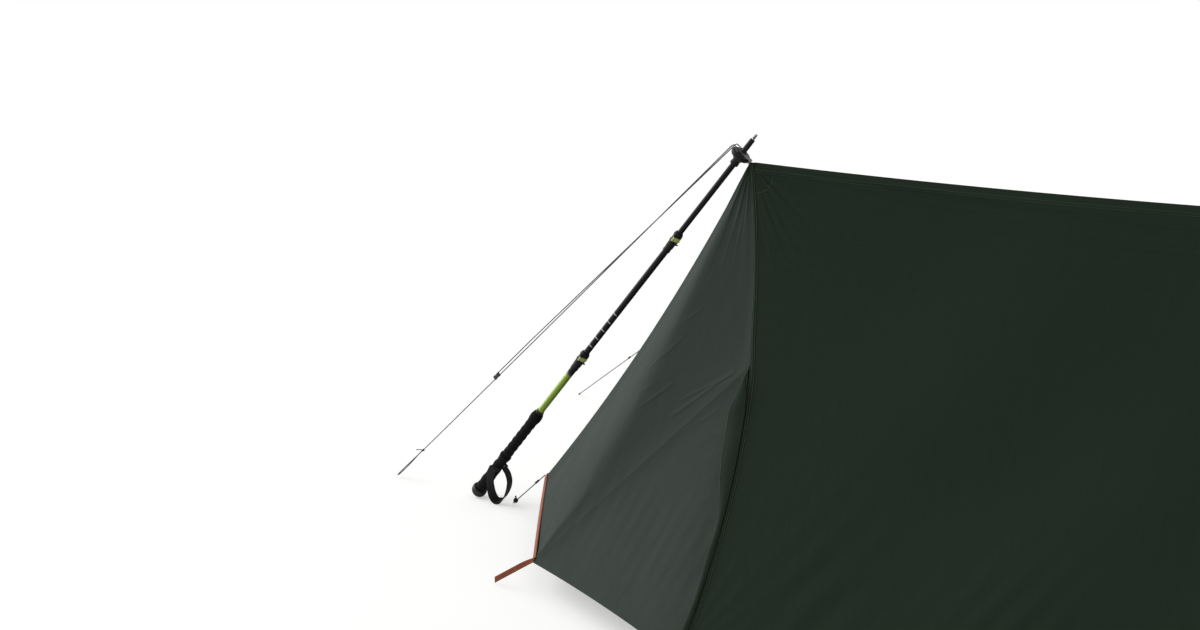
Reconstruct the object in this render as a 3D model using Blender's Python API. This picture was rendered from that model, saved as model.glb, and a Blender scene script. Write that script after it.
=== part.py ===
"""Ultralight ridge tent held up by two upside-down trekking poles. Metres, +Z up, X along the ridge."""

import math

import bmesh
import bpy
from mathutils import Matrix, Vector

# Driving sizes of the fly. The left end is at -X, and the right end is the same turned half a turn.
RIDGE_HALF = 0.949
APEX_HEIGHT = 0.981
BEAK_REACH = 0.573
BEAK_HEIGHT = 0.100
CHEEK_REACH = 0.351
CHEEK_HALF_WIDTH = 0.390
CHEEK_HEIGHT = 0.060
SIDE_REACH = -0.139
SIDE_HALF_WIDTH = 0.600
SIDE_HEIGHT = 0.050
RIDGE_SAG = 0.022
BEAK_SAG = 0.025
CHEEK_SAG = 0.015
SEAM_SAG = 0.080
HEM_RISE = 0.030
BEAK_HEM_RISE = 0.008
CLOTH = 0.0020
GAP = 0.0003
ZIP_TOP_SHARE = 0.42
DOOR_TRIM = 0.004
FOLD_HEIGHT = 0.006
DOOR_FOLD_HEIGHT = 0.014

# Driving sizes of the webbing, the floor and the mesh
TAPE_WIDTH = 0.012
TAPE_THICK = 0.0012
TAIL_LENGTH = 0.110
TAIL_LIFT = 0.0020
TAPE_LIFT = 0.0006
BAND_WIDTH = 0.026
BAND_THICK = 0.0010
PANEL_COLUMNS = 20
PANEL_LEVELS = 10
RIM_LEVEL = 9
END_COLUMN = 1
CHEEK_STEPS = 10
DOOR_STEPS = 13
FLOOR_THICK = 0.0015
MESH_THICK = 0.0010
MESH_TOP_LEVEL = 1

# Driving sizes of a trekking pole, measured along it from the centre of its knob
POLE_LEAN = math.radians(38.2)
KNOB_RADIUS = 0.0213
KNOB_LIFT = 0.0001
GRIP_END = 0.152
FOAM_END = 0.290
COLLAR_END = 0.326
UPPER_START = 0.020
SLEEVE_LENGTH = 0.026
HEAD_LENGTH = 0.030
LOCK_TWO = 0.503
LOCK_ONE = 0.930
MIDDLE_START = 0.440
LOWER_START = 0.880
HUB_LENGTH = 0.032
BASKET_RADIUS = 0.0250
BASKET_THICK = 0.0024
BASKET_DEPTH = 0.0135
FERRULE_REACH = 0.043
TIP_LENGTH = 0.015
TAB_THICK = 0.0014
TAB_CLEARANCE = 0.0016
TAB_LEG = 0.0105
UPPER_RADIUS = 0.0080
MIDDLE_RADIUS = 0.0070
LOWER_RADIUS = 0.0060
TUBE_WALL = 0.0006
GRIP_RADIUS = 0.0157
FOAM_RADIUS = 0.0125
FOAM_RIBS = 6
FOAM_RIB_DEPTH = 0.0014
COLLAR_SWELL = 0.0030
LEVER_ARC = math.radians(150)
LEVER_HEIGHT = 0.013
LEVER_THICK = 0.0022
EAR_HEIGHT = 0.0035
BARREL_RADIUS = 0.0032
PIN_RADIUS = 0.0012
NOTCH_COUNT = 6

# Driving sizes of the lines and what runs on them
GUY_DIAMETER = 0.0022
GUY_ANCHOR_REACH = 1.082
GUY_SLIDER_SHARE = 0.345
STRAND_PITCH = 0.0075
SLIDER_TRAVEL = 0.160
GUY_KNOT = 0.135
PEG_LOOP_HALF = 0.0060
SLIDER_SIZE = (0.022, 0.007, 0.0135)
ADJUSTER_SIZE = (0.014, 0.006, 0.009)
BORE_CLEARANCE = 0.0005
CORNER_PEG_REACH = 0.678
SIDE_GUY_ANCHOR = (1.050, 0.931)
SIDE_GUY_SHARE = 0.20
SIDE_ADJUSTER_SHARE = 0.325
SLIDER_BEVEL = 0.0008
ZIP_SLIDER_SHARE = 0.955
ZIP_SLIDER_SIZE = (0.011, 0.0075, 0.0030)
ZIP_PULL_SIZE = (0.020, 0.0050, 0.0012)
STRAP_WIDTH = 0.024
STRAP_THICK = 0.0016
STRAP_PLACE = 0.116
STRAP_FRONT = 0.104
STRAP_LIFT = 0.0015
STRAP_CLEARANCE = 0.0028

ROUND = 16
FINE = 12

# The pole stands so that the tab over its basket reaches the apex of the fly.
KNOB_CENTRE = KNOB_RADIUS + KNOB_LIFT
APEX_RISE = APEX_HEIGHT - KNOB_CENTRE
APEX_OFF_POLE = BASKET_RADIUS + TAB_CLEARANCE + TAB_THICK + GAP * 1.5
POLE_FOOT_REACH = (APEX_OFF_POLE + APEX_RISE * math.sin(POLE_LEAN)) / math.cos(POLE_LEAN)
BASKET_PLATE = POLE_FOOT_REACH * math.sin(POLE_LEAN) + APEX_RISE * math.cos(POLE_LEAN)
HUB_START = BASKET_PLATE - HUB_LENGTH
LOWER_END = HUB_START - 0.001
FERRULE_END = BASKET_PLATE + FERRULE_REACH
POLE_LENGTH = FERRULE_END + TIP_LENGTH

# Corners of the left end, near side first
APEX = Vector((-RIDGE_HALF, 0, APEX_HEIGHT))
BEAK = Vector((-RIDGE_HALF - BEAK_REACH, 0, BEAK_HEIGHT))
CHEEK = Vector((-RIDGE_HALF - CHEEK_REACH, -CHEEK_HALF_WIDTH, CHEEK_HEIGHT))
SIDE = Vector((-RIDGE_HALF - SIDE_REACH, -SIDE_HALF_WIDTH, SIDE_HEIGHT))
INTO = {
    "apex": Vector((0.35, 0, -1)).normalized() * CLOTH,
    "beak": Vector((1, 0, -0.3)).normalized() * CLOTH,
    "cheek": Vector((0.55, 0.75, -0.2)).normalized() * CLOTH,
    "side": Vector((0.35, 0.85, -0.2)).normalized() * CLOTH,
}


def clear_scene():
    for thing in list(bpy.data.objects):
        bpy.data.objects.remove(thing, do_unlink=True)


def material(name, colour, roughness, metallic=0.0):
    made = bpy.data.materials.new(name)
    made.use_nodes = True
    shader = made.node_tree.nodes["Principled BSDF"]
    shader.inputs["Base Color"].default_value = (*colour, 1)
    shader.inputs["Roughness"].default_value = roughness
    shader.inputs["Metallic"].default_value = metallic
    made.diffuse_color = (*colour, 1)
    return made


def add(name, mesh, mat, parent=None, place=(0, 0, 0), smooth=False):
    """Puts a mesh in the scene as one named piece."""
    mesh.materials.append(mat)
    thing = bpy.data.objects.new(name, mesh)
    bpy.context.collection.objects.link(thing)
    thing.parent = parent
    thing.location = place
    if smooth:
        mesh.shade_smooth()
    return thing


def empty(name, parent=None, place=(0, 0, 0), turn=(0, 0, 0)):
    thing = bpy.data.objects.new(name, None)
    bpy.context.collection.objects.link(thing)
    thing.parent = parent
    thing.location = place
    thing.rotation_euler = turn
    return thing


def mesh_of(name, build):
    """Runs build on a fresh bmesh, makes the faces look outward and returns the mesh."""
    work = bmesh.new()
    build(work)
    bmesh.ops.recalc_face_normals(work, faces=work.faces)
    if work.calc_volume(signed=True) < 0:
        bmesh.ops.reverse_faces(work, faces=work.faces)
    made = bpy.data.meshes.new(name)
    work.to_mesh(made)
    work.free()
    return made


def turned(name, profile, steps=ROUND):
    """Spins a closed profile of (radius, height) points about Z."""
    def build(work):
        ring = [work.verts.new((radius, 0, height)) for radius, height in profile]
        edges = [work.edges.new((a, b)) for a, b in zip(ring, ring[1:] + ring[:1])]
        bmesh.ops.spin(work, geom=ring + edges, cent=(0, 0, 0), axis=(0, 0, 1),
                       angle=math.tau, steps=steps, use_merge=True)
        bmesh.ops.remove_doubles(work, verts=work.verts, dist=1e-6)
        bmesh.ops.dissolve_degenerate(work, edges=work.edges, dist=1e-6)
    return mesh_of(name, build)


def solid_turned(name, profile, steps=ROUND):
    """Spins an open profile, whose ends lie on the axis, about Z."""
    def build(work):
        line = [work.verts.new((radius, 0, height)) for radius, height in profile]
        edges = [work.edges.new((a, b)) for a, b in zip(line, line[1:])]
        bmesh.ops.spin(work, geom=line + edges, cent=(0, 0, 0), axis=(0, 0, 1),
                       angle=math.tau, steps=steps, use_merge=True)
        bmesh.ops.remove_doubles(work, verts=work.verts, dist=1e-6)
        bmesh.ops.dissolve_degenerate(work, edges=work.edges, dist=1e-6)
    return mesh_of(name, build)


def block(name, size, centre=(0, 0, 0), bevel=0.0):
    def build(work):
        bmesh.ops.create_cube(work, size=1, matrix=Matrix.Translation(centre) @ Matrix.Diagonal((*size, 1)))
        if bevel:
            bmesh.ops.bevel(work, geom=work.edges[:], offset=bevel, segments=1, affect="EDGES")
    return mesh_of(name, build)


def drum(name, radius, low, high, centre=(0, 0), steps=FINE):
    def build(work):
        place = Matrix.Translation((*centre, (low + high) / 2))
        bmesh.ops.create_cone(work, cap_ends=True, segments=steps, radius1=radius, radius2=radius,
                              depth=high - low, matrix=place)
    return mesh_of(name, build)


def combine(thing, mesh, operation):
    """Joins a mesh to a piece, or cuts it away, and bakes the result into the piece."""
    other = bpy.data.objects.new("tool", mesh)
    bpy.context.collection.objects.link(other)
    other.matrix_world = thing.matrix_world
    step = thing.modifiers.new("cut", "BOOLEAN")
    step.operation = operation
    step.object = other
    bpy.context.view_layer.update()
    other.matrix_world = thing.matrix_world
    bpy.context.view_layer.update()
    graph = bpy.context.evaluated_depsgraph_get()
    result = bpy.data.meshes.new_from_object(thing.evaluated_get(graph))
    thing.modifiers.remove(step)
    thing.data = result
    bpy.data.objects.remove(other, do_unlink=True)


# Cloth surfaces
def bow(start, end, depth, toward):
    """A circular arc from start to end that leaves its chord by depth, as (point function, centre, axis)."""
    chord = end - start
    length = chord.length
    way = toward - toward.project(chord)
    way.normalize()
    radius = (length * length / 4 + depth * depth) / (2 * depth)

    def point(share):
        along = (share - 0.5) * length
        lift = math.sqrt(radius * radius - along * along) - (radius - depth)
        return start.lerp(end, share) + way * lift

    centre = start.lerp(end, 0.5) - way * (radius - depth)
    return point, centre, chord.cross(way).normalized()


def straight(start, end):
    return lambda share: start.lerp(end, share)


def part_of(curve, low, high):
    return lambda share: curve(low + (high - low) * share)


def backward(curve):
    return lambda share: curve(1 - share)


def flipped(curve):
    """The same curve on the far side of the ridge."""
    return lambda share: Vector((curve(share).x, -curve(share).y, curve(share).z))


def leave(curve, share):
    """How far a curve lies off its own chord."""
    return curve(share) - curve(0).lerp(curve(1), share)


def triangle(corners, curves, insets, count, fold=None):
    """Cloth inside three curves, as rows of (point, inward offset, step in from a seamed edge).

    Curve k runs from corner k to corner k+1, and insets[k] is the room kept beside it.
    """
    spots, into = zip(*corners)
    normal = (spots[1] - spots[0]).cross(spots[2] - spots[0]).normalized()
    if normal.dot(sum(into, Vector())) > 0:
        normal.negate()
    steps = []
    for k in range(3):
        edge = spots[(k + 1) % 3] - spots[k]
        inward = spots[(k + 2) % 3] - spots[k]
        steps.append((inward - inward.project(edge)).normalized() * insets[k])
    rows = []
    for i in range(count + 1):
        row = []
        for j in range(i + 1):
            share = (1 - i / count, (i - j) / count, j / count)
            point = sum((spot * part for spot, part in zip(spots, share)), Vector())
            shift = Vector()
            for k in range(3):
                one, two = share[k], share[(k + 1) % 3]
                if one + two > 1e-9:
                    point += leave(curves[k], two / (one + two)) * (one + two) ** 2
                if share[(k + 2) % 3] < 1e-9:
                    shift += steps[k]
            if fold:
                point += normal * fold(*share)
            way = sum((step * part for step, part in zip(into, share)), Vector())
            row.append((point, way, shift))
        rows.append(row)
    return rows


def triangle_faces(rows):
    for i in range(len(rows) - 1):
        for j in range(len(rows[i])):
            yield rows[i][j], rows[i + 1][j], rows[i + 1][j + 1]
            if j + 1 < len(rows[i]):
                yield rows[i][j], rows[i + 1][j + 1], rows[i][j + 1]


def four_sided(corners, top, bottom, left, right, columns, levels, inset, fold=None):
    """Cloth inside four curves: top and bottom run left to right, left and right run top to bottom."""
    spots, into = zip(*corners)
    height = (spots[0] - spots[3]).length
    width = (spots[0] - spots[1]).length
    rows = []
    for i in range(levels + 1):
        down = inset / height + (1 - inset / height) * i / levels
        row = []
        for j in range(columns + 1):
            across = inset / width + (1 - 2 * inset / width) * j / columns
            weights = ((1 - across) * (1 - down), across * (1 - down), across * down, (1 - across) * down)
            point = sum((spot * part for spot, part in zip(spots, weights)), Vector())
            point += leave(top, across) * (1 - down) + leave(bottom, across) * down
            point += leave(left, down) * (1 - across) + leave(right, down) * across
            way = sum((step * part for step, part in zip(into, weights)), Vector())
            if fold:
                point -= way.normalized() * fold(across, down)
            row.append((point, way, Vector()))
        rows.append(row)
    return rows


def grid_faces(rows):
    for upper, lower in zip(rows, rows[1:]):
        for j in range(len(upper) - 1):
            yield upper[j], lower[j], lower[j + 1], upper[j + 1]


def cloth_mesh(name, faces):
    """A closed solid between a sheet's outer points and the same points moved by their inward offsets."""
    def build(work):
        spots, ways, shifts = {}, {}, {}
        polygons = []
        for face in faces:
            keys = []
            for point, way, shift in face:
                key = tuple(round(value, 4) for value in point)
                spots.setdefault(key, point)
                ways.setdefault(key, way)
                shifts.setdefault(key, set()).add(tuple(shift))
                if key not in keys:
                    keys.append(key)
            if len(keys) > 2:
                polygons.append(keys)
        outer, inner = {}, {}
        for key, point in spots.items():
            moved = point + sum((Vector(shift) for shift in shifts[key]), Vector())
            outer[key] = work.verts.new(moved)
            inner[key] = work.verts.new(moved + ways[key])
        sides = {}
        for keys in polygons:
            work.faces.new([outer[key] for key in keys])
            work.faces.new([inner[key] for key in reversed(keys)])
            for a, b in zip(keys, keys[1:] + keys[:1]):
                sides[frozenset((a, b))] = None if frozenset((a, b)) in sides else (a, b)
        for pair in sides.values():
            if pair:
                a, b = pair
                work.faces.new((outer[b], outer[a], inner[a], inner[b]))
    return mesh_of(name, build)


def strip_mesh(name, stations):
    """A closed strip. Each station is its four section points in order round the section."""
    def build(work):
        rings = [[work.verts.new(point) for point in station] for station in stations]
        for one, two in zip(rings, rings[1:]):
            for k in range(len(one)):
                after = (k + 1) % len(one)
                work.faces.new((one[k], one[after], two[after], two[k]))
        work.faces.new(rings[0])
        work.faces.new(list(reversed(rings[-1])))
    return mesh_of(name, build)


def cord_mesh(name, points, diameter):
    """A round cord through its points, with capped ends."""
    line = bpy.data.curves.new(name, "CURVE")
    line.dimensions = "3D"
    line.bevel_depth = diameter / 2
    line.bevel_resolution = 2
    line.use_fill_caps = True
    line.resolution_u = 1
    spline = line.splines.new("POLY")
    spline.points.add(len(points) - 1)
    for spot, point in zip(spline.points, points):
        spot.co = (*point, 1)
    holder = bpy.data.objects.new(name, line)
    bpy.context.collection.objects.link(holder)
    bpy.context.view_layer.update()
    graph = bpy.context.evaluated_depsgraph_get()
    made = bpy.data.meshes.new_from_object(holder.evaluated_get(graph))
    bpy.data.objects.remove(holder, do_unlink=True)

    def build(work):
        work.from_mesh(made)
        bmesh.ops.remove_doubles(work, verts=work.verts, dist=1e-6)
    return mesh_of(name, build)


# Edges that the panels of one end share
INWARD_SEAM = Vector((0.5, 1.0, 0))
SEAM, SEAM_CENTRE, SEAM_AXIS = bow(APEX, SIDE, SEAM_SAG, INWARD_SEAM)
BEAK_LINE = bow(APEX, BEAK, BEAK_SAG, Vector((1, 0, 0)))[0]
CHEEK_LINE = bow(APEX, CHEEK, CHEEK_SAG, Vector((1, 0.8, 0)))[0]
BEAK_HEM = bow(BEAK, CHEEK, BEAK_HEM_RISE, Vector((0, 0, 1)))[0]
CHEEK_HEM = bow(CHEEK, SIDE, BEAK_HEM_RISE, Vector((0, 0, 1)))[0]
ZIP_TOP = SEAM(ZIP_TOP_SHARE)
INTO["zip"] = INTO["apex"].lerp(INTO["side"], ZIP_TOP_SHARE)
EDGE = GAP / 2


def far(vector):
    return Vector((vector.x, -vector.y, vector.z))


def soft_fold(a, b, c):
    """Diagonal folds that die away at the three edges."""
    window = min(1, 9 * a * b + 9 * b * c + 9 * c * a) * min(1, 30 * a * b * c)
    return FOLD_HEIGHT * window * math.sin(math.tau * (2.2 * b + 0.9 * a))


def door_fold(a, b, c):
    """One long fold beside the zip, widest at the hem."""
    window = 16 * a * c * (1 - a) * min(1, 12 * b)
    return DOOR_FOLD_HEIGHT * window * math.sin(math.pi * min(1, 3 * b))


def beak_faces(side):
    """The narrow cloth between the beak line and the cheek line, near (1) or far (-1)."""
    turn = (lambda v: v) if side > 0 else far
    line = (lambda c: c) if side > 0 else flipped
    corners = [(APEX, INTO["apex"]), (BEAK, INTO["beak"]), (turn(CHEEK), turn(INTO["cheek"]))]
    curves = [BEAK_LINE, line(BEAK_HEM), backward(line(CHEEK_LINE))]
    return triangle_faces(triangle(corners, curves, (EDGE, 0, 0), CHEEK_STEPS))


def door_side_panel(end, mat):
    corners = [(APEX, INTO["apex"]), (CHEEK, INTO["cheek"]), (ZIP_TOP, INTO["zip"])]
    curves = [CHEEK_LINE, straight(CHEEK, ZIP_TOP), backward(part_of(SEAM, 0, ZIP_TOP_SHARE))]
    upper = triangle_faces(triangle(corners, curves, (0, EDGE, EDGE), CHEEK_STEPS))
    return add(f"{end.name}_end_panel_door_side", cloth_mesh("panel", [*beak_faces(1), *upper]), mat, end)


def plain_side_panel(end, mat):
    corners = [(APEX, INTO["apex"]), (far(CHEEK), far(INTO["cheek"])), (far(SIDE), far(INTO["side"]))]
    curves = [flipped(CHEEK_LINE), flipped(CHEEK_HEM), backward(flipped(SEAM))]
    lower = triangle_faces(triangle(corners, curves, (0, 0, EDGE), CHEEK_STEPS, soft_fold))
    return add(f"{end.name}_end_panel_plain_side", cloth_mesh("panel", [*beak_faces(-1), *lower]), mat, end)


def door_panel(end, mat):
    """The zipped door, which swings on the line from the zip's top to the cheek corner."""
    trim = (CHEEK - ZIP_TOP).normalized() * DOOR_TRIM
    top = ZIP_TOP + trim
    zip_side = part_of(SEAM, ZIP_TOP_SHARE, 1)
    corners = [(top, INTO["zip"]), (CHEEK, INTO["cheek"]), (SIDE, INTO["side"])]
    curves = [straight(top, CHEEK), CHEEK_HEM, backward(lambda share: zip_side(share) + trim * (1 - share))]
    rows = triangle(corners, curves, (EDGE, 0, EDGE), DOOR_STEPS, door_fold)
    made = cloth_mesh("door", triangle_faces(rows))
    made.transform(Matrix.Translation(-CHEEK))
    return add(f"{end.name}_door_panel", made, mat, end, CHEEK)


def main_fold(across, down):
    """Faint slanted folds over a side panel, flat at its edges."""
    window = 16 * across * (1 - across) * down * (1 - down)
    return FOLD_HEIGHT * window * math.sin(math.tau * (3.1 * across + 1.3 * down))


def opposite(vector):
    return Vector((-vector.x, vector.y, vector.z))


def side_rows():
    """The near side panel between the two seams, in rows from the ridge to the hem."""
    corners = [(APEX, INTO["apex"]), (opposite(APEX), opposite(INTO["apex"])),
               (opposite(SIDE), opposite(INTO["side"])), (SIDE, INTO["side"])]
    ridge = bow(APEX, opposite(APEX), RIDGE_SAG, Vector((0, 0, -1)))[0]
    hem = bow(SIDE, opposite(SIDE), HEM_RISE, Vector((0, 0, 1)))[0]
    right = lambda share: opposite(SEAM(share))
    return four_sided(corners, ridge, hem, SEAM, right, PANEL_COLUMNS, PANEL_LEVELS, EDGE, main_fold)


def side_panel(name, holder, mat):
    return add(name, cloth_mesh("panel", grid_faces(side_rows())), mat, holder)


def ridge_band(mat):
    """The doubled strip that is sewn over the ridge."""
    top_row, next_row = side_rows()[:2]
    out = Vector((0, -0.84, 0.54))
    stations = []
    for (top, *_), (low, *_) in zip(top_row[1:-1], next_row[1:-1]):
        crest = Vector((top.x, 0, top.z + GAP / 0.5))
        wing = top.lerp(low, BAND_WIDTH / (low - top).length) + out * GAP * 2
        crown = crest + Vector((0, 0, BAND_THICK / 0.54))
        edge = wing + out * BAND_THICK
        stations.append([crest, wing, edge, crown, far(edge), far(wing)])
    return add("ridge_band", strip_mesh("band", stations), mat)


def tape_stations(along):
    """Section points of tape along a line, from (lower edge, direction up the tape, outward step)."""
    stations = []
    for low, up, out in along:
        top = low + up.normalized() * TAPE_WIDTH
        inner = out * TAPE_LIFT
        outer = out * (TAPE_LIFT + TAPE_THICK)
        stations.append([low + inner, top + inner, top + outer, low + outer])
    return stations


def tail(corner, up, into, heading, facing):
    """The tape's bend at its corner and its run down to the ground, nearest the corner first."""
    flat = Vector((heading.x, heading.y, 0)).normalized()
    face = Vector((-flat.y, flat.x, 0))
    if face.dot(facing) < 0:
        face.negate()
    hem_face = -into.normalized()
    bend = hem_face + face
    stations = [(corner, up, bend / bend.dot(face))]
    reach = math.sqrt(TAIL_LENGTH ** 2 - corner.z ** 2)
    rise = Vector((0, 0, 1))
    for share in (0.3, 0.65, 1):
        low = corner + flat * reach * share - rise * (corner.z - TAIL_LIFT) * share
        stations.append((low, rise, face))
    return stations


def end_hem_tape(end, mat):
    """Webbing along both hems of the beak, with a tail down to the ground at each cheek corner."""
    near = []
    for share in (0, 0.15, 0.35, 0.55, 0.75, 0.92):
        low = BEAK_HEM(share)
        near.append((low, APEX - low, -INTO["beak"].lerp(INTO["cheek"], share).normalized()))
    near += tail(CHEEK, APEX - CHEEK, INTO["cheek"], CHEEK - ZIP_TOP, Vector((0, 1, 0)))
    other = [(far(low), far(up), far(out)) for low, up, out in near[1:]]
    return add(f"{end.name}_end_hem_tape", strip_mesh("tape", tape_stations(other[::-1] + near)), mat, end)


def side_hem_tape(name, holder, mat):
    """Webbing along a side panel's hem, with a tail down to the ground at each side corner."""
    rows = side_rows()
    along = [(low, high - low, -into.normalized())
             for (high, *_), (low, into, _) in zip(rows[-2][1:-1], rows[-1][1:-1])]
    left = tail(SIDE, APEX - SIDE, INTO["side"], Vector((-0.35, -1, 0)), Vector((1, 0, 0)))
    right = [(opposite(low), opposite(up), opposite(out)) for low, up, out in left]
    return add(name, strip_mesh("tape", tape_stations(left[::-1] + along + right)), mat, holder)


def inside_point(spot):
    """A point just inside the near side panel, clear of its cloth."""
    point, into, _ = spot
    return point + into + Vector((0, 1, 0)) * GAP * 2


def half_turn(vector):
    return Vector((-vector.x, -vector.y, vector.z))


def mesh_wall(end, mat):
    """The insect mesh that closes the sleeping room at one end."""
    sheet = []
    for level in side_rows()[MESH_TOP_LEVEL:RIM_LEVEL + 1]:
        near = inside_point(level[END_COLUMN])
        other = half_turn(inside_point(level[-1 - END_COLUMN]))
        sheet.append([(near.lerp(other, i / 4), Vector((MESH_THICK, 0, 0)), Vector()) for i in range(5)])
    return add(f"{end.name}_mesh_wall", cloth_mesh("mesh", grid_faces(sheet)), mat, end)


def floor_tray(mat):
    """The bathtub floor, with its walls up to the side panels and the mesh walls."""
    under = Vector((0, 0, -GAP * 2))
    near = [inside_point(spot) + under for spot in side_rows()[RIM_LEVEL][END_COLUMN:-END_COLUMN]]
    rim = near + [half_turn(point) for point in near]
    base = [Vector((point.x, point.y, 0)) for point in rim]
    end_line = near[0].x + FLOOR_THICK

    def build(work):
        def loop(points, lift):
            return [work.verts.new(point + lift(point)) for point in points]
        thick = FLOOR_THICK
        inward = lambda p: Vector((-math.copysign(thick, p.x) if abs(p.x) > -end_line else 0,
                                   -math.copysign(thick, p.y), 0))
        outer_rim = loop(rim, lambda p: Vector())
        outer_base = loop(base, lambda p: Vector())
        inner_base = loop(base, lambda p: inward(p) + Vector((0, 0, thick)))
        inner_rim = loop(rim, inward)
        for one, two in ((outer_rim, outer_base), (inner_base, inner_rim), (inner_rim, outer_rim)):
            for k in range(len(one)):
                after = (k + 1) % len(one)
                work.faces.new((one[k], one[after], two[after], two[k]))
        work.faces.new(outer_base)
        work.faces.new(inner_base)
    return add("floor_tray", mesh_of("tray", build), mat)


# Trekking pole
def tube(name, radius, low, high, mat, parent, smooth=True):
    inner = radius - TUBE_WALL
    profile = [(radius, high), (radius, low), (inner, low), (inner, high)]
    return add(name, turned("tube", profile), mat, parent, smooth=smooth)


def knob(pole, mat):
    steps = 9
    profile = [(0.0, -KNOB_RADIUS)]
    for k in range(1, steps):
        angle = math.pi * (k / steps) * 0.68
        profile.append((KNOB_RADIUS * math.sin(angle), -KNOB_RADIUS * math.cos(angle)))
    top = profile[-1][1]
    profile.append((0.0, top))
    return add(f"{pole.name}_knob", solid_turned("knob", profile), mat, pole, smooth=True)


def knob_top():
    return -KNOB_RADIUS * math.cos(math.pi * (8 / 9) * 0.68)


def grip(pole, mat):
    bore = UPPER_RADIUS + GAP
    low = knob_top() + GAP
    swell = [(0.0, 0.92), (0.10, 0.98), (0.22, 0.92), (0.34, 0.97), (0.46, 0.90), (0.58, 0.93), (0.70, 0.86),
             (0.81, 0.815), (0.89, 0.90), (0.955, 1.0), (0.985, 0.97), (1.0, 0.88)]
    outer = [(GRIP_RADIUS * width, low + (GRIP_END - low) * share) for share, width in swell]
    profile = outer + [(bore, GRIP_END), (bore, UPPER_START - GAP), (0.0040, UPPER_START - GAP), (0.0040, low)]
    return add(f"{pole.name}_grip", turned("grip", profile[::-1]), mat, pole, smooth=True)


def foam(pole, mat):
    """The ribbed foam sleeve above the grip, with its rounded collar."""
    bore = UPPER_RADIUS + GAP
    low = GRIP_END + GAP
    outer = []
    for k in range(FOAM_RIBS):
        start = low + (FOAM_END - low) * k / FOAM_RIBS
        pitch = (FOAM_END - low) / FOAM_RIBS
        outer += [(FOAM_RADIUS - FOAM_RIB_DEPTH, start), (FOAM_RADIUS, start + 0.5 * pitch)]
    span = COLLAR_END - FOAM_END
    outer += [(FOAM_RADIUS + COLLAR_SWELL * math.sin(math.pi * share) - 0.0012 * share, FOAM_END + span * share)
              for share in (0, 0.2, 0.45, 0.7, 0.9, 1)]
    profile = outer + [(bore, COLLAR_END), (bore, low)]
    return add(f"{pole.name}_foam_sleeve", turned("foam", profile[::-1]), mat, pole, smooth=True)


def lock(pole, number, start, outer_radius, inner_radius, body_mat, lever_mat):
    """A lever clamp: its body is fixed on the wider tube and grips the thinner one."""
    sleeve = outer_radius + GAP
    passage = inner_radius + GAP
    tube_end = start + SLEEVE_LENGTH
    top = start + SLEEVE_LENGTH + HEAD_LENGTH
    head = outer_radius + 0.0042
    seat = outer_radius + 0.0032
    mid = (tube_end + top) / 2 - 0.002
    half = LEVER_HEIGHT / 2
    profile = [(sleeve, start), (sleeve + 0.0010, start), (sleeve + 0.0016, tube_end - 0.006),
               (seat + 0.0004, mid - half - EAR_HEIGHT - GAP), (head, mid - half - EAR_HEIGHT),
               (head, mid - half - GAP), (seat, mid - half - GAP), (seat, mid + half + GAP), (head, mid + half + GAP),
               (head, mid + half + EAR_HEIGHT), (head - 0.0012, top - 0.003), (passage + 0.0012, top),
               (passage, top), (passage, tube_end + GAP), (sleeve, tube_end + GAP)]
    name = f"{pole.name}_lock_{number}"
    body = add(f"{name}_clamp", turned("clamp", profile[::-1]), body_mat, pole)
    pivot = seat + GAP + BARREL_RADIUS
    low = mid - half
    high = mid + half
    for bottom, height in ((low - EAR_HEIGHT, low - GAP), (high + GAP, high + EAR_HEIGHT)):
        combine(body, drum("ear", BARREL_RADIUS, bottom, height, (0, -pivot)), "UNION")
    combine(body, drum("pin", PIN_RADIUS, low - EAR_HEIGHT / 2, high + EAR_HEIGHT / 2, (0, -pivot), 12), "UNION")
    return body, lever(pole, name, seat + GAP, pivot, low, high, lever_mat)


def lever(pole, name, inside, pivot, low, high, mat):
    """The curved lever that wraps the clamp and swings out on the clamp's pin."""
    outside = inside + LEVER_THICK
    bottom, top = low + GAP, high - GAP
    first = -math.pi / 2 + math.radians(9)
    count = 12
    stations = []
    for k in range(count + 1):
        angle = first + LEVER_ARC * k / count
        flare = 0.0018 * max(0, (k - count + 3) / 3)
        ring = []
        for radius, height in ((inside, bottom), (outside, bottom), (outside, top), (inside, top)):
            reach = radius + flare
            ring.append(Vector((reach * math.cos(angle), reach * math.sin(angle), height)))
        stations.append(ring)
    place = Vector((0, -pivot, (low + high) / 2))
    made = strip_mesh("lever", stations)
    made.transform(Matrix.Translation(-place))
    thing = add(f"{name}_lever", made, mat, pole, place)
    half = (high - low) / 2
    combine(thing, drum("barrel", BARREL_RADIUS, -half, half), "UNION")
    combine(thing, drum("bore", PIN_RADIUS + GAP, -half - 0.001, half + 0.001, steps=12), "DIFFERENCE")
    return thing


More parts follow.
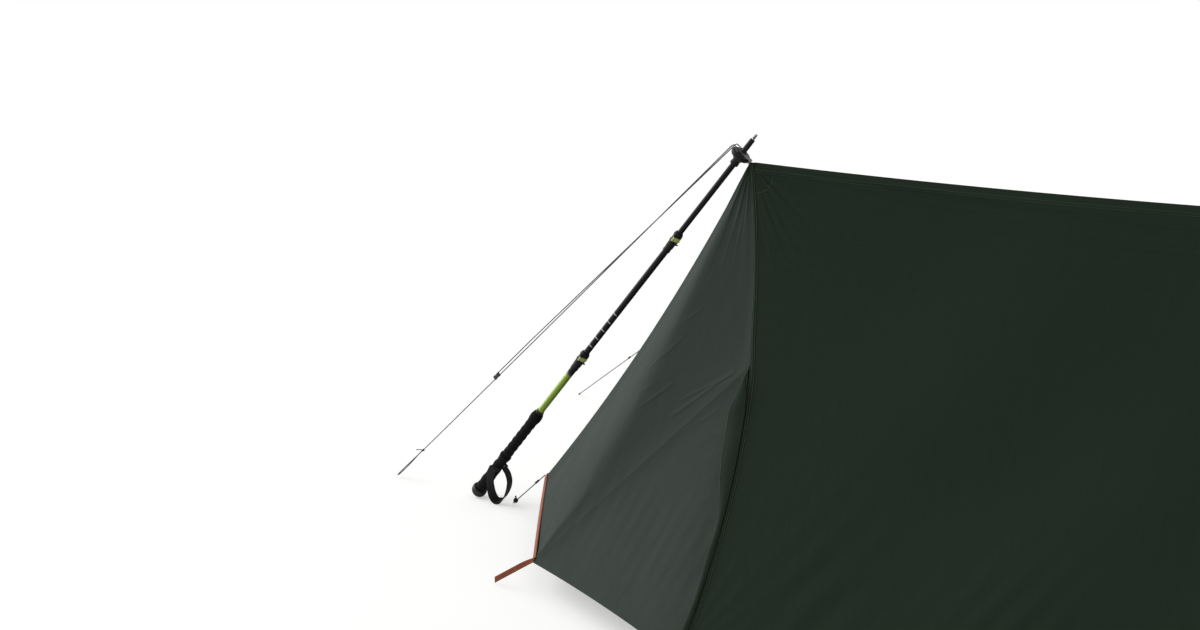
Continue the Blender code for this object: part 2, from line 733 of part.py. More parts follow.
def basket(pole, mat):
    bore = LOWER_RADIUS + GAP
    plate = BASKET_PLATE
    profile = [(bore, HUB_START), (bore + 0.0028, HUB_START), (bore + 0.0032, plate - BASKET_DEPTH - 0.003),
               (bore + 0.0040, plate - BASKET_DEPTH), (BASKET_RADIUS * 0.66, plate - BASKET_DEPTH * 0.52),
               (BASKET_RADIUS - 0.0006, plate - 0.0026), (BASKET_RADIUS, plate + 0.0002),
               (BASKET_RADIUS - 0.0022, plate + BASKET_THICK), (bore, plate + BASKET_THICK)]
    made = add(f"{pole.name}_basket", turned("basket", profile[::-1], ROUND + 8), mat, pole)
    for k in range(NOTCH_COUNT):
        angle = math.tau * (k + 0.5) / NOTCH_COUNT
        middle = (BASKET_RADIUS * 0.66, 0, plate - BASKET_DEPTH * 0.3)
        notch = block("notch", (BASKET_RADIUS * 0.30, 0.0048, BASKET_DEPTH * 1.5), middle)
        notch.transform(Matrix.Rotation(angle, 4, "Z"))
        combine(made, notch, "DIFFERENCE")
    return made


def ferrule(pole, mat):
    plug = LOWER_RADIUS - TUBE_WALL - GAP
    profile = [(0.0, LOWER_END - 0.030), (plug, LOWER_END - 0.030), (plug, LOWER_END + GAP),
               (LOWER_RADIUS, LOWER_END + GAP), (LOWER_RADIUS, BASKET_PLATE + BASKET_THICK + 0.001),
               (0.0056, BASKET_PLATE + BASKET_THICK + 0.004), (0.0044, FERRULE_END - 0.001),
               (0.0038, FERRULE_END), (0.0, FERRULE_END)]
    return add(f"{pole.name}_ferrule", solid_turned("ferrule", profile), mat, pole, smooth=False)


def metal_tip(pole, mat):
    start = FERRULE_END + GAP
    profile = [(0.0, start), (0.0030, start), (0.0030, POLE_LENGTH - 0.002), (0.0026, POLE_LENGTH),
               (0.0018, POLE_LENGTH), (0.0, POLE_LENGTH - 0.0012)]
    return add(f"{pole.name}_tip", solid_turned("tip", profile, FINE), mat, pole)


def strap_middle():
    """The strap's run as (point, direction of its width), from the grip's near face down and up to its underside."""
    half = STRAP_THICK / 2
    front = on_pole(STRAP_FRONT) - Vector((0, GRIP_RADIUS + STRAP_CLEARANCE + half, 0))
    back = on_pole(STRAP_PLACE) + across_pole(GRIP_RADIUS * 0.84 + GAP * 1.5)
    ground = half + STRAP_LIFT
    foot = on_pole(0)
    shape = [(0.0575, -0.0205, 0.91, 0), (0.0535, -0.0220, 0.66, 0), (0.0550, -0.0225, 0.43, 10),
             (0.0590, -0.0215, 0.22, 30), (0.0670, -0.0195, 0.055, 65), (0.0760, -0.0170, 0.0, 90),
             (0.0860, -0.0145, 0.05, 95), (0.0960, -0.0130, 0.18, 100), (0.1060, -0.0120, 0.42, 105),
             (0.1085, -0.0090, 0.66, 104), (0.1010, -0.0050, 0.84, 98), (0.0906, -0.0015, 0.94, 91)]
    middle = [(front, 0)]
    for step, out, share, turn in shape:
        middle.append((Vector((foot.x + step, out, ground + share * (back.z - ground))), turn))
    middle.append((back, 90))
    return [(point, Vector((math.cos(math.radians(turn)), math.sin(math.radians(turn)), 0)))
            for point, turn in middle]


def wrist_strap(end, pole, mat):
    """The webbing loop that hangs from the grip to the ground."""
    middle = strap_middle()
    hinge = middle[-1][0] + across_pole(STRAP_THICK / 2)
    spots = [point for point, _ in middle]
    stations = []
    for k, (point, wide) in enumerate(middle):
        along = (spots[min(k + 1, len(spots) - 1)] - spots[max(k - 1, 0)]).normalized()
        wide = (wide - wide.project(along)).normalized() * STRAP_WIDTH / 2
        flat = along.cross(wide).normalized() * STRAP_THICK / 2
        centre = point - hinge
        stations.append([centre + flat + wide, centre + flat - wide, centre - flat - wide, centre - flat + wide])
    return add(f"{pole.name}_wrist_strap", strip_mesh("strap", stations), mat, end, hinge)


def foot_point():
    """The middle of the knob on the ground."""
    return Vector((-RIDGE_HALF - POLE_FOOT_REACH, 0, KNOB_CENTRE))


def on_pole(distance):
    return foot_point() + Vector((math.sin(POLE_LEAN), 0, math.cos(POLE_LEAN))) * distance


def across_pole(distance):
    """A step square to the pole, toward the tent."""
    return Vector((math.cos(POLE_LEAN), 0, -math.sin(POLE_LEAN))) * distance


def trekking_pole(end, mats):
    pole = empty(f"{end.name}_pole", end, foot_point(), (0, POLE_LEAN, 0))
    tube(f"{pole.name}_lower_tube", LOWER_RADIUS, LOWER_START, LOWER_END, mats["black"], pole)
    tube(f"{pole.name}_middle_tube", MIDDLE_RADIUS, MIDDLE_START, LOCK_ONE + SLEEVE_LENGTH, mats["black"], pole)
    tube(f"{pole.name}_upper_tube", UPPER_RADIUS, UPPER_START, LOCK_TWO + SLEEVE_LENGTH, mats["lime"], pole)
    metal_tip(pole, mats["steel"])
    ferrule(pole, mats["plastic"])
    basket(pole, mats["basket"])
    lock(pole, 1, LOCK_ONE, MIDDLE_RADIUS, LOWER_RADIUS, mats["plastic"], mats["lime_plastic"])
    lock(pole, 2, LOCK_TWO, UPPER_RADIUS, MIDDLE_RADIUS, mats["plastic"], mats["lime_plastic"])
    foam(pole, mats["foam"])
    grip(pole, mats["foam"])
    knob(pole, mats["knob"])
    wrist_strap(end, pole, mats["webbing"])


# Apex tab, lines and adjusters
def apex_tab(end, mat):
    """The webbing tab with a round hole that drops over the ferrule and lies on the basket."""
    seat = BASKET_PLATE + BASKET_THICK + GAP
    thick = TAB_THICK
    rim = BASKET_RADIUS + TAB_CLEARANCE
    heel = LOWER_RADIUS + 0.003
    size = (rim + heel + thick, TAPE_WIDTH + 0.003, thick)
    plate = block("plate", size, ((rim - heel + thick) / 2, 0, thick / 2))
    made = add(f"{end.name}_apex_tab", plate, mat, end, on_pole(seat))
    made.rotation_euler = (0, POLE_LEAN, 0)
    bpy.context.view_layer.update()
    leg = block("leg", (thick, size[1], TAB_LEG), (rim + thick / 2, 0, thick - TAB_LEG / 2))
    combine(made, leg, "UNION")
    combine(made, drum("hole", LOWER_RADIUS + GAP, -0.01, 0.01, steps=ROUND + 4), "DIFFERENCE")
    return made


def line_frame(start, end):
    """A matrix at start whose X axis runs to end and whose Z axis looks up."""
    forward = (end - start).normalized()
    side = Vector((0, 0, 1)).cross(forward).normalized()
    up = forward.cross(side)
    return Matrix((forward, side, up)).transposed().to_4x4()


def runner(name, size, bores, place, aim, mat, end):
    """A small block that runs on a line, bored along its length."""
    frame = line_frame(place, aim)
    made = add(name, block("runner", size, (0, 0, size[2] / 2 - size[1] / 2), SLIDER_BEVEL), mat, end, place)
    made.rotation_euler = frame.to_euler()
    bpy.context.view_layer.update()
    for height in bores:
        bore = drum("bore", GUY_DIAMETER / 2 + BORE_CLEARANCE, -size[0], size[0], steps=12)
        bore.transform(Matrix.Translation((0, 0, height)) @ Matrix.Rotation(math.pi / 2, 4, "Y"))
        combine(made, bore, "DIFFERENCE")
    return made


def smooth_route(points, count):
    """Points along a smooth curve through a few hand-chosen ones."""
    padded = [points[0] * 2 - points[1], *points, points[-1] * 2 - points[-2]]
    made = []
    for k in range(1, len(padded) - 2):
        a, b, c, d = padded[k - 1:k + 3]
        for i in range(count):
            t = i / count
            made.append(((b * 2) + (c - a) * t + (a * 2 - b * 5 + c * 4 - d) * t * t
                         + (b * 3 - a - c * 3 + d) * t ** 3) / 2)
    return made + [points[-1]]


def main_guy(end, cord_mat, slider_mat):
    """The line from a peg loop, through its slider, over the basket, round the ferrule and back to the slider."""
    post = on_pole(BASKET_PLATE + BASKET_THICK + TAB_THICK + GUY_DIAMETER / 2 + GAP * 4)
    radius = LOWER_RADIUS + GUY_DIAMETER / 2 + GAP
    back = across_pole(-1)
    side = Vector((0, 1, 0))
    rim = post + back * (BASKET_RADIUS + GUY_DIAMETER)
    peg = Vector((-RIDGE_HALF - GUY_ANCHOR_REACH, 0, 0.006))
    frame = line_frame(peg, rim).to_3x3()
    ahead = frame @ Vector((1, 0, 0))
    lift = frame @ Vector((0, 0, 1))
    slider_at = peg.lerp(rim, GUY_SLIDER_SHARE)
    knot_at = peg + ahead * GUY_KNOT
    near, wide = side * PEG_LOOP_HALF, side * radius
    lower = [knot_at - ahead * 0.004 + side * 0.0024 + lift * 0.002,
             peg + ahead * 0.060 + near, peg + ahead * 0.012 + near, peg + ahead * 0.002,
             peg + ahead * 0.012 - near, peg + ahead * 0.060 - near, knot_at - side * 0.0010, knot_at + ahead * 0.020]
    ring = []
    for k in range(9):
        angle = -math.pi / 2 + math.pi * k / 8
        ring.append(post - back * radius * math.cos(angle) + wide * math.sin(angle))
    parallel = slider_at + ahead * SLIDER_TRAVEL
    above = lift * STRAND_PITCH
    drop = rim - ahead * 0.005
    points = smooth_route(lower, 3)
    points += [slider_at - ahead * 0.03, parallel, drop - wide, rim - back * 0.002 - wide]
    points += ring
    points += [rim - back * 0.002 + wide, drop + wide, parallel + above, slider_at + above + ahead * 0.02,
               slider_at + above - ahead * 0.004]
    add(f"{end.name}_guy_line", cord_mesh("guy", points, GUY_DIAMETER), cord_mat, end, smooth=True)
    runner(f"{end.name}_guy_slider", SLIDER_SIZE, (0.0, STRAND_PITCH), slider_at, rim, slider_mat, end)


def corner_cord(end, cord_mat, slider_mat):
    """The short line from the beak corner down to its peg."""
    peg = Vector((-RIDGE_HALF - CORNER_PEG_REACH, 0, 0.0045))
    out = -INTO["beak"].normalized()
    start = BEAK + out * (GAP * 4 + TAPE_THICK + GUY_DIAMETER / 2) + (APEX - BEAK).normalized() * TAPE_WIDTH / 2
    points = [start.lerp(peg, k / 8) for k in range(9)]
    add(f"{end.name}_corner_cord", cord_mesh("cord", points, GUY_DIAMETER), cord_mat, end, smooth=True)
    runner(f"{end.name}_corner_adjuster", ADJUSTER_SIZE, (0.0,), start.lerp(peg, 0.24), start, slider_mat, end)


def side_guy(end, cord_mat, slider_mat):
    """The line from the far seam of an end out to its own peg."""
    top = far(SEAM(SIDE_GUY_SHARE))
    out = -far(INTO["apex"].lerp(INTO["side"], SIDE_GUY_SHARE)).normalized()
    start = top + out * (GAP * 2 + GUY_DIAMETER * 0.8)
    peg = Vector((-RIDGE_HALF - SIDE_GUY_ANCHOR[0], SIDE_GUY_ANCHOR[1], 0.003))
    points = [start.lerp(peg, k / 8) for k in range(9)]
    add(f"{end.name}_side_guy_line", cord_mesh("guy", points, GUY_DIAMETER), cord_mat, end, smooth=True)
    place = peg.lerp(start, SIDE_ADJUSTER_SHARE)
    runner(f"{end.name}_side_guy_adjuster", ADJUSTER_SIZE, (0.0,), place, start, slider_mat, end)


def normal_of(a, b, c):
    """The outward normal of a panel on the near side."""
    normal = (b - a).cross(c - a).normalized()
    return normal if normal.z > 0 else -normal


def zip_slider(end, mat):
    """The zip's slider, low on the seam, which follows the seam's arc."""
    spot = SEAM(ZIP_SLIDER_SHARE)
    along = (SEAM(ZIP_SLIDER_SHARE - 0.01) - spot).normalized()
    out = normal_of(APEX, opposite(APEX), SIDE) + normal_of(ZIP_TOP, CHEEK, SIDE)
    out = (out - out.project(along)).normalized()
    side = out.cross(along)
    frame = Matrix((along, side, out)).transposed().to_4x4()
    lift = GAP * 4
    height = ZIP_SLIDER_SIZE[2]
    made = block("slider", ZIP_SLIDER_SIZE, (0, 0, height / 2 + lift), height / 5)
    thing = add(f"{end.name}_zip_slider", made, mat, end, spot)
    thing.rotation_euler = frame.to_euler()
    bpy.context.view_layer.update()
    pull_at = (-ZIP_PULL_SIZE[0] * 0.625, 0, lift + height - ZIP_PULL_SIZE[2] / 2)
    pull = block("pull", ZIP_PULL_SIZE, pull_at, ZIP_PULL_SIZE[2] / 4)
    combine(thing, pull, "UNION")
    return thing


def build_all():
    clear_scene()
    mats = {
        "fly": material("fly_cloth", (0.024, 0.038, 0.030), 0.62),
        "end": material("end_cloth", (0.046, 0.060, 0.052), 0.58),
        "band": material("ridge_cloth", (0.075, 0.098, 0.080), 0.60),
        "floor": material("floor_cloth", (0.055, 0.062, 0.058), 0.55),
        "mesh": material("insect_mesh", (0.030, 0.032, 0.032), 0.80),
        "tape": material("hem_webbing", (0.300, 0.100, 0.055), 0.80),
        "webbing": material("strap_webbing", (0.012, 0.012, 0.013), 0.85),
        "cord": material("guy_cord", (0.150, 0.155, 0.160), 0.80),
        "dark_cord": material("corner_cord", (0.030, 0.034, 0.032), 0.80),
        "slider": material("slider_plastic", (0.045, 0.048, 0.050), 0.45),
        "black": material("black_tube", (0.010, 0.010, 0.012), 0.30, 0.4),
        "lime": material("lime_tube", (0.270, 0.400, 0.025), 0.30, 0.3),
        "lime_plastic": material("lime_plastic", (0.350, 0.480, 0.060), 0.40),
        "plastic": material("black_plastic", (0.012, 0.012, 0.013), 0.45),
        "basket": material("basket_plastic", (0.060, 0.062, 0.065), 0.50),
        "foam": material("black_foam", (0.014, 0.014, 0.015), 0.90),
        "tab": material("apex_webbing", (0.300, 0.310, 0.295), 0.85),
        "knob": material("knob_rubber", (0.060, 0.062, 0.048), 0.60),
        "steel": material("tip_steel", (0.500, 0.500, 0.500), 0.30, 1.0),
        "zip": material("zip_metal", (0.040, 0.042, 0.044), 0.40, 0.8),
    }
    ends = [empty("left"), empty("right", turn=(0, 0, math.pi))]
    bpy.context.view_layer.update()
    side_panel("near_side_panel", ends[0], mats["fly"])
    side_panel("far_side_panel", ends[1], mats["fly"])
    side_hem_tape("near_side_hem_tape", ends[0], mats["tape"])
    side_hem_tape("far_side_hem_tape", ends[1], mats["tape"])
    ridge_band(mats["band"])
    floor_tray(mats["floor"])
    for end in ends:
        door_side_panel(end, mats["end"])
        plain_side_panel(end, mats["end"])
        door_panel(end, mats["end"])
        end_hem_tape(end, mats["tape"])
        mesh_wall(end, mats["mesh"])
        zip_slider(end, mats["zip"])
        apex_tab(end, mats["tab"])
        trekking_pole(end, mats)
        main_guy(end, mats["cord"], mats["slider"])
        corner_cord(end, mats["dark_cord"], mats["slider"])
        side_guy(end, mats["cord"], mats["slider"])
    print("zip arc centre", [round(v, 5) for v in SEAM_CENTRE], "axis", [round(v, 5) for v in SEAM_AXIS])
    print("door hinge", [round(v, 5) for v in CHEEK], [round(v, 5) for v in ZIP_TOP])


build_all()
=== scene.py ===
# %% [markdown]
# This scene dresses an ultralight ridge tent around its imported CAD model. The tent is thin coated
# cloth, stretched over two upside-down trekking poles that lean in over its ends. The CAD bodies fix
# where everything is, so the scene starts by loading them, and everything later is measured from them.

# %% Load the frame
import math
from functools import partial

import bmesh
import bpy
import numpy as np
from mathutils import Matrix, Vector


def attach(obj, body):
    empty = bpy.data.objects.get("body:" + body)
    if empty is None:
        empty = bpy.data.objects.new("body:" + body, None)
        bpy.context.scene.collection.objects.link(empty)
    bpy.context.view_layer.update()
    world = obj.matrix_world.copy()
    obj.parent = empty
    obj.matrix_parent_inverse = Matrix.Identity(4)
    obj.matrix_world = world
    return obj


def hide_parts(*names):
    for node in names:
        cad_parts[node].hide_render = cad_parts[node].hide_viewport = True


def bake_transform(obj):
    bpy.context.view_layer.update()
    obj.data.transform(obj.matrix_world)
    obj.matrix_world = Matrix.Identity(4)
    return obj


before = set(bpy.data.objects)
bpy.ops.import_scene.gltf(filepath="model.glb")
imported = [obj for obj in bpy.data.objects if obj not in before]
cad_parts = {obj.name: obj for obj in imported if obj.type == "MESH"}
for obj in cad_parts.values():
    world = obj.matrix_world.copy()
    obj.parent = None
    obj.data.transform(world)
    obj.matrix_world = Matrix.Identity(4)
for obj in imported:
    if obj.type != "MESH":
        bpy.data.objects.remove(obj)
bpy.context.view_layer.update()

# %% [markdown]
# The sizes below are the tent's own, in metres, as the CAD model has them. Only the pole's tubes, its
# foam and the cords are drawn a little thicker here. X runs along the ridge, Z is up, and the right end
# is the left end turned half a turn about Z.

# %% Sizes of the tent
RIDGE_HALF = 0.949
APEX_HEIGHT = 0.981
BEAK_REACH = 0.573
BEAK_HEIGHT = 0.100
CHEEK_REACH = 0.351
CHEEK_HALF_WIDTH = 0.390
CHEEK_HEIGHT = 0.060
SIDE_REACH = -0.139
SIDE_HALF_WIDTH = 0.600
SIDE_HEIGHT = 0.050
RIDGE_SAG = 0.022
BEAK_SAG = 0.025
CHEEK_SAG = 0.015
SEAM_SAG = 0.080
HEM_RISE = 0.030
BEAK_HEM_RISE = 0.008
GAP = 0.0003
CLOTH_SHOWN = 0.0007
APEX_PATCH = 0.046
ZIP_TOP_SHARE = 0.42
POLE_LEAN = math.radians(38.2)
KNOB_RADIUS = 0.0213
BASKET_RADIUS = 0.0250
BASKET_THICK = 0.0024
BASKET_DEPTH = 0.0135
TAB_THICK = 0.0014
TAB_CLEARANCE = 0.0016
LOWER_RADIUS = 0.0069
MIDDLE_RADIUS = 0.0079
UPPER_RADIUS = 0.0089
KNOB_CENTRE = KNOB_RADIUS + 0.0001
APEX_RISE = APEX_HEIGHT - KNOB_CENTRE
APEX_OFF_POLE = BASKET_RADIUS + TAB_CLEARANCE + TAB_THICK + GAP * 1.5
POLE_FOOT_REACH = (APEX_OFF_POLE + APEX_RISE * math.sin(POLE_LEAN)) / math.cos(POLE_LEAN)
BASKET_PLATE = POLE_FOOT_REACH * math.sin(POLE_LEAN) + APEX_RISE * math.cos(POLE_LEAN)
ENDS = {"left": 1, "right": -1}
print("pole foot", -RIDGE_HALF - POLE_FOOT_REACH, "basket", BASKET_PLATE)

# %% [markdown]
# The camera comes first, because the size of a detail is judged from where it is seen. It stands low
# beside the left end and looks along the ridge, as a person who kneels to photograph the tent does.

# %% Camera
FOCAL_PIXELS = 1312.0
FRAME_PIXELS = 1200
SENSOR = 36.0
EYE_AHEAD, EYE_ASIDE, EYE_HEIGHT = 2.0469, 2.7446, 1.3667
EYE_NUDGE = (0.0017, 0.0013)
azimuth, tilt = math.radians(31.1), math.radians(14)
to_right = Vector((math.cos(azimuth), math.sin(azimuth), 0))
level = Vector((-math.sin(azimuth), math.cos(azimuth), 0))
looking = level * math.cos(tilt) - Vector((0, 0, math.sin(tilt)))
upward = to_right.cross(looking)
eye = Vector((-RIDGE_HALF - POLE_FOOT_REACH + EYE_AHEAD, -EYE_ASIDE, EYE_HEIGHT))
eye = eye - to_right * EYE_NUDGE[0] + upward * EYE_NUDGE[1]
lens = bpy.data.cameras.new("camera")
lens.sensor_width = SENSOR
lens.lens = SENSOR * FOCAL_PIXELS / FRAME_PIXELS
camera = bpy.data.objects.new("camera", lens)
bpy.context.scene.collection.objects.link(camera)
turn = Matrix((to_right, upward, -looking)).transposed().to_4x4()
camera.matrix_world = Matrix.Translation(eye) @ turn
bpy.context.scene.camera = camera
print("camera at", [round(value, 3) for value in eye], "lens", round(lens.lens, 2))

# %% [markdown]
# Every soft piece here is a thin closed sheet, and every hard one is turned or bent from a section.
# A few helpers cover both. They work on whole NumPy arrays of points, which keeps fine grids quick.

# %% Helpers for points
def spot(*values):
    return np.array(values, float)


def unit(vectors):
    return vectors / np.maximum(np.linalg.norm(vectors, axis=-1, keepdims=True), 1e-12)


def rise(low, high, values):
    """A smooth step from 0 at low to 1 at high."""
    share = np.clip((np.asarray(values, float) - low) / (high - low), 0, 1)
    return share * share * (3 - 2 * share)


def crest(phase, sharpness=3):
    """A row of soft crests, one for each whole number of phase, with flat ground between."""
    return (0.5 + 0.5 * np.cos(math.tau * phase)) ** sharpness


def bell(values, middle, spread):
    """A smooth hump of height 1 round a middle value."""
    return np.exp(-((values - middle) / spread) ** 2)


def soft_square(angle, power):
    """Both coordinates round a shape between a circle, at power 1, and a square, near power 0."""
    return tuple(np.sign(wave) * np.abs(wave) ** power for wave in (np.cos(angle), np.sin(angle)))


def travel(path):
    """How far along a path each of its points lies."""
    return np.concatenate([[0], np.cumsum(np.linalg.norm(np.diff(path, axis=0), axis=1))])


def square_to(vectors, along):
    """Unit directions like the given ones, but square to along, row by row."""
    return unit(vectors - along * np.einsum("ij,ij->i", vectors, along)[:, None])


def plane_normal(a, b, c):
    """The normal of three corners of the near left part of the tent, on its outer side."""
    normal = unit(np.cross(b - a, c - a))
    return normal if normal @ spot(-1, -1, 1) > 0 else -normal


def at_end(end, points):
    """The same points at the named end of the tent."""
    side = ENDS[end]
    return np.asarray(points) * spot(side, side, 1)


def far(points):
    return np.asarray(points) * spot(1, -1, 1)


def opposite(points):
    return np.asarray(points) * spot(-1, 1, 1)


# %% Helpers for meshes
def shade(mesh, sharp):
    mesh.shade_smooth()
    mesh.set_sharp_from_angle(angle=math.radians(sharp))


def settle(name, mesh, material, sharp=50):
    """Checks a mesh, shades it smooth up to an angle and puts it in the scene with its material."""
    mesh.validate()
    shade(mesh, sharp)
    mesh.materials.clear()
    mesh.materials.append(material)
    made = bpy.data.objects.new(name, mesh)
    bpy.context.scene.collection.objects.link(made)
    return made


def mesh_from(name, points, faces, uvs=None):
    """A mesh whose closed surface faces outward, with one UV place for each point."""
    points = np.asarray(points, float)
    signed = 0.0
    for size in (3, 4):
        same = np.array([face for face in faces if len(face) == size], int)
        for k in range(1, size - 1) if len(same) else ():
            a, b, c = points[same[:, 0]], points[same[:, k]], points[same[:, k + 1]]
            signed += float(np.einsum("ij,ij->i", a, np.cross(b, c)).sum())
    if signed < 0:
        faces = [face[::-1] for face in faces]
    mesh = bpy.data.meshes.new(name)
    mesh.from_pydata(points.tolist(), [], faces)
    if uvs is not None:
        layer = mesh.uv_layers.new(name="UVMap")
        corner = np.zeros(len(mesh.loops), np.int32)
        mesh.loops.foreach_get("vertex_index", corner)
        layer.data.foreach_set("uv", np.asarray(uvs, float)[corner].astype(np.float32).ravel())
    mesh.update()
    return mesh


def grid_faces(rows, columns, start=0, across=False, along=False):
    """Index quads of a grid of points. across joins the last column to the first, along the last row."""
    i, j = np.meshgrid(np.arange(rows - (not along)), np.arange(columns - (not across)), indexing="ij")
    a, b = i * columns + j, i * columns + (j + 1) % columns
    c, d = (i + 1) % rows * columns + (j + 1) % columns, (i + 1) % rows * columns + j
    return (np.stack([a, b, c, d], -1).reshape(-1, 4) + start).tolist()


def skin_faces(rows, columns):
    """Faces of a closed skin: a grid of points, as many points behind it, and the rim between them."""
    count = rows * columns
    faces = grid_faces(rows, columns)
    faces += [[k + count for k in face[::-1]] for face in faces]
    edge = [*range(columns), *(r * columns + columns - 1 for r in range(1, rows)),
            *((rows - 1) * columns + c for c in range(columns - 2, -1, -1)),
            *(r * columns for r in range(rows - 2, 0, -1))]
    return faces + [[b, a, a + count, b + count] for a, b in zip(edge, edge[1:] + edge[:1])]


def fan_faces(rows, columns):
    """Faces of such a skin where the first row is one point: its quads become triangles."""
    count, made = rows * columns, []
    for face in skin_faces(rows, columns):
        face = [0 if k < columns else count if count <= k < count + columns else k for k in face]
        kept = [k for n, k in enumerate(face) if k != face[n - 1]]
        if len(kept) > 2:
            made.append(kept)
    return made


def normals_of(grid, inside=(0, 0, 0.3)):
    """Unit normals of a grid of points, pointing away from a point inside the tent."""
    found = np.cross(np.gradient(grid, axis=0), np.gradient(grid, axis=1))
    if np.linalg.norm(found[0], axis=1).min() < 1e-12:
        found[0] = found[1].mean(0)
    found = unit(found)
    middle = tuple(size // 2 for size in grid.shape[:2])
    return found if found[middle] @ (grid[middle] - spot(*inside)) > 0 else -found


def sheet(name, outer, material, thick=CLOTH_SHOWN, uv=None, fan=False, normals=None):
    """A closed sheet of cloth: a grid of outer points, and the same points a thickness further in."""
    inner = outer - (normals_of(outer) if normals is None else normals) * thick
    if uv is None:
        along = np.cumsum(np.linalg.norm(np.diff(outer, axis=0, prepend=outer[:1]), axis=2), axis=0)
        aside = np.cumsum(np.linalg.norm(np.diff(outer, axis=1, prepend=outer[:, :1]), axis=2), axis=1)
        uv = np.stack([aside, along], -1)
    mesh = mesh_from(name, np.stack([outer, inner]).reshape(-1, 3),
                     (fan_faces if fan else skin_faces)(*outer.shape[:2]), np.stack([uv, uv]).reshape(-1, 2))
    if fan:
        work = bmesh.new()
        work.from_mesh(mesh)
        bmesh.ops.delete(work, geom=[vert for vert in work.verts if not vert.link_faces], context="VERTS")
        work.to_mesh(mesh)
        work.free()
    return settle(name, mesh, material)


def turning_frames(path):
    """Side and up directions along a path, carried on from point to point so that they never twist."""
    along = unit(np.gradient(path, axis=0))
    sides = [unit(np.cross(along[0], spot(0.13, 0.31, 0.94)))]
    for way in along[1:]:
        sides.append(unit(sides[-1] - way * (sides[-1] @ way)))
    return np.array(sides), np.cross(along, sides)


def tube(name, path, radius, material, sides=16):
    """A round closed tube along a path, with UVs in metres round it and along it."""
    path = np.asarray(path, float)
    count, total = len(path), len(path) * (sides + 1)
    side, up = turning_frames(path)
    angle = np.linspace(0, math.tau, sides + 1)
    ring = side[:, None] * np.cos(angle)[None, :, None] + up[:, None] * np.sin(angle)[None, :, None]
    points = (path[:, None] + ring * radius).reshape(-1, 3)
    length = travel(path)
    uvs = np.stack(np.broadcast_arrays(angle * radius, length[:, None]), -1).reshape(-1, 2)
    last = total - sides - 1
    faces = grid_faces(count, sides + 1) + [[total, k + 1, k] for k in range(sides)]
    faces += [[total + 1, last + k, last + k + 1] for k in range(sides)]
    points = np.concatenate([points, path[:1], path[-1:]])
    uvs = np.concatenate([uvs, [[0, 0]], [[0, length[-1]]]])
    return settle(name, welded(mesh_from(name, points, faces, uvs)), material)


def welded(mesh, distance=1e-6):
    """Merges a mesh's doubled points, and turns its faces outward."""
    work = bmesh.new()
    work.from_mesh(mesh)
    bmesh.ops.remove_doubles(work, verts=work.verts, dist=distance)
    bmesh.ops.dissolve_degenerate(work, edges=work.edges, dist=distance)
    bmesh.ops.recalc_face_normals(work, faces=work.faces)
    if work.calc_volume(signed=True) < 0:
        bmesh.ops.reverse_faces(work, faces=work.faces)
    work.to_mesh(mesh)
    work.free()
    return mesh


def smooth_path(points, count):
    """Points on a smooth curve through the given ones, count for each stretch."""
    points = np.asarray(points, float)
    padded = np.concatenate([2 * points[:1] - points[1:2], points, 2 * points[-1:] - points[-2:-1]])
    a, b, c, d = (padded[k:len(padded) - 3 + k][:, None] for k in range(4))
    t = (np.arange(count) / count)[None, :, None]
    made = (2 * b + (c - a) * t + (2 * a - 5 * b + 4 * c - d) * t ** 2 + (3 * b - a - 3 * c + d) * t ** 3) / 2
    return np.concatenate([made.reshape(-1, 3), points[-1:]])


def gather(mesh, parts):
    """Adds other meshes to a mesh and removes them."""
    work = bmesh.new()
    for part in (mesh, *parts):
        work.from_mesh(part)
    work.to_mesh(mesh)
    work.free()
    for part in parts:
        bpy.data.meshes.remove(part)
    return mesh


def cut_away(piece, cutters, material, sharp):
    """Takes the cutters away from a piece with Boolean modifiers, which are applied at once."""
    for cutter in cutters:
        step = piece.modifiers.new(cutter.name, "BOOLEAN")
        step.object, step.operation, step.solver = cutter, "DIFFERENCE", "EXACT"
    mesh = bpy.data.meshes.new_from_object(piece.evaluated_get(bpy.context.evaluated_depsgraph_get()))
    name = piece.name
    for thing in (piece, *cutters):
        bpy.data.objects.remove(thing)
    return settle(name, mesh, material, sharp)


def dress(piece, body, slot, *nodes):
    """Puts a piece on the body it rides on and hides the CAD nodes that it replaces. slot is not used."""
    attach(piece, body)
    if nodes:
        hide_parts(*nodes)

# %% [markdown]
# Finishes. The tent's look is mostly its cloth: thin coated ripstop, woven with a small grid of
# thicker threads, creased from packing and slightly sheeny where the light grazes it. The weave, the
# creases and the small differences of tone are shader groups, so that each cloth sets its own values.

# %% Helpers for node trees
def feed(made, values):
    """Links or sets a node's inputs, by name or number."""
    for key, value in values.items():
        if isinstance(value, bpy.types.NodeSocket):
            made.id_data.links.new(value, made.inputs[key])
        else:
            made.inputs[key].default_value = value
    return made


def node(tree, kind, inputs=None, **settings):
    """Adds a node, sets its properties, and links or sets its inputs."""
    made = tree.nodes.new(kind)
    for key, value in settings.items():
        setattr(made, key, value)
    return feed(made, inputs or {})


def sums(tree, operation, *values, clamp=False):
    """One Math node on sockets or numbers. Gives its output socket."""
    return node(tree, "ShaderNodeMath", dict(enumerate(values)), operation=operation,
                use_clamp=clamp).outputs[0]


def blend_colour(tree, factor, one, two):
    return node(tree, "ShaderNodeMix", {0: factor, 6: one, 7: two}, data_type="RGBA").outputs[2]


def noise(tree, place, scale, detail):
    return node(tree, "ShaderNodeTexNoise", {"Vector": place, "Scale": scale, "Detail": detail}).outputs[0]


def split(tree, place):
    """The first two coordinates of a place, as sockets."""
    return node(tree, "ShaderNodeSeparateXYZ", {0: place}).outputs[:2]


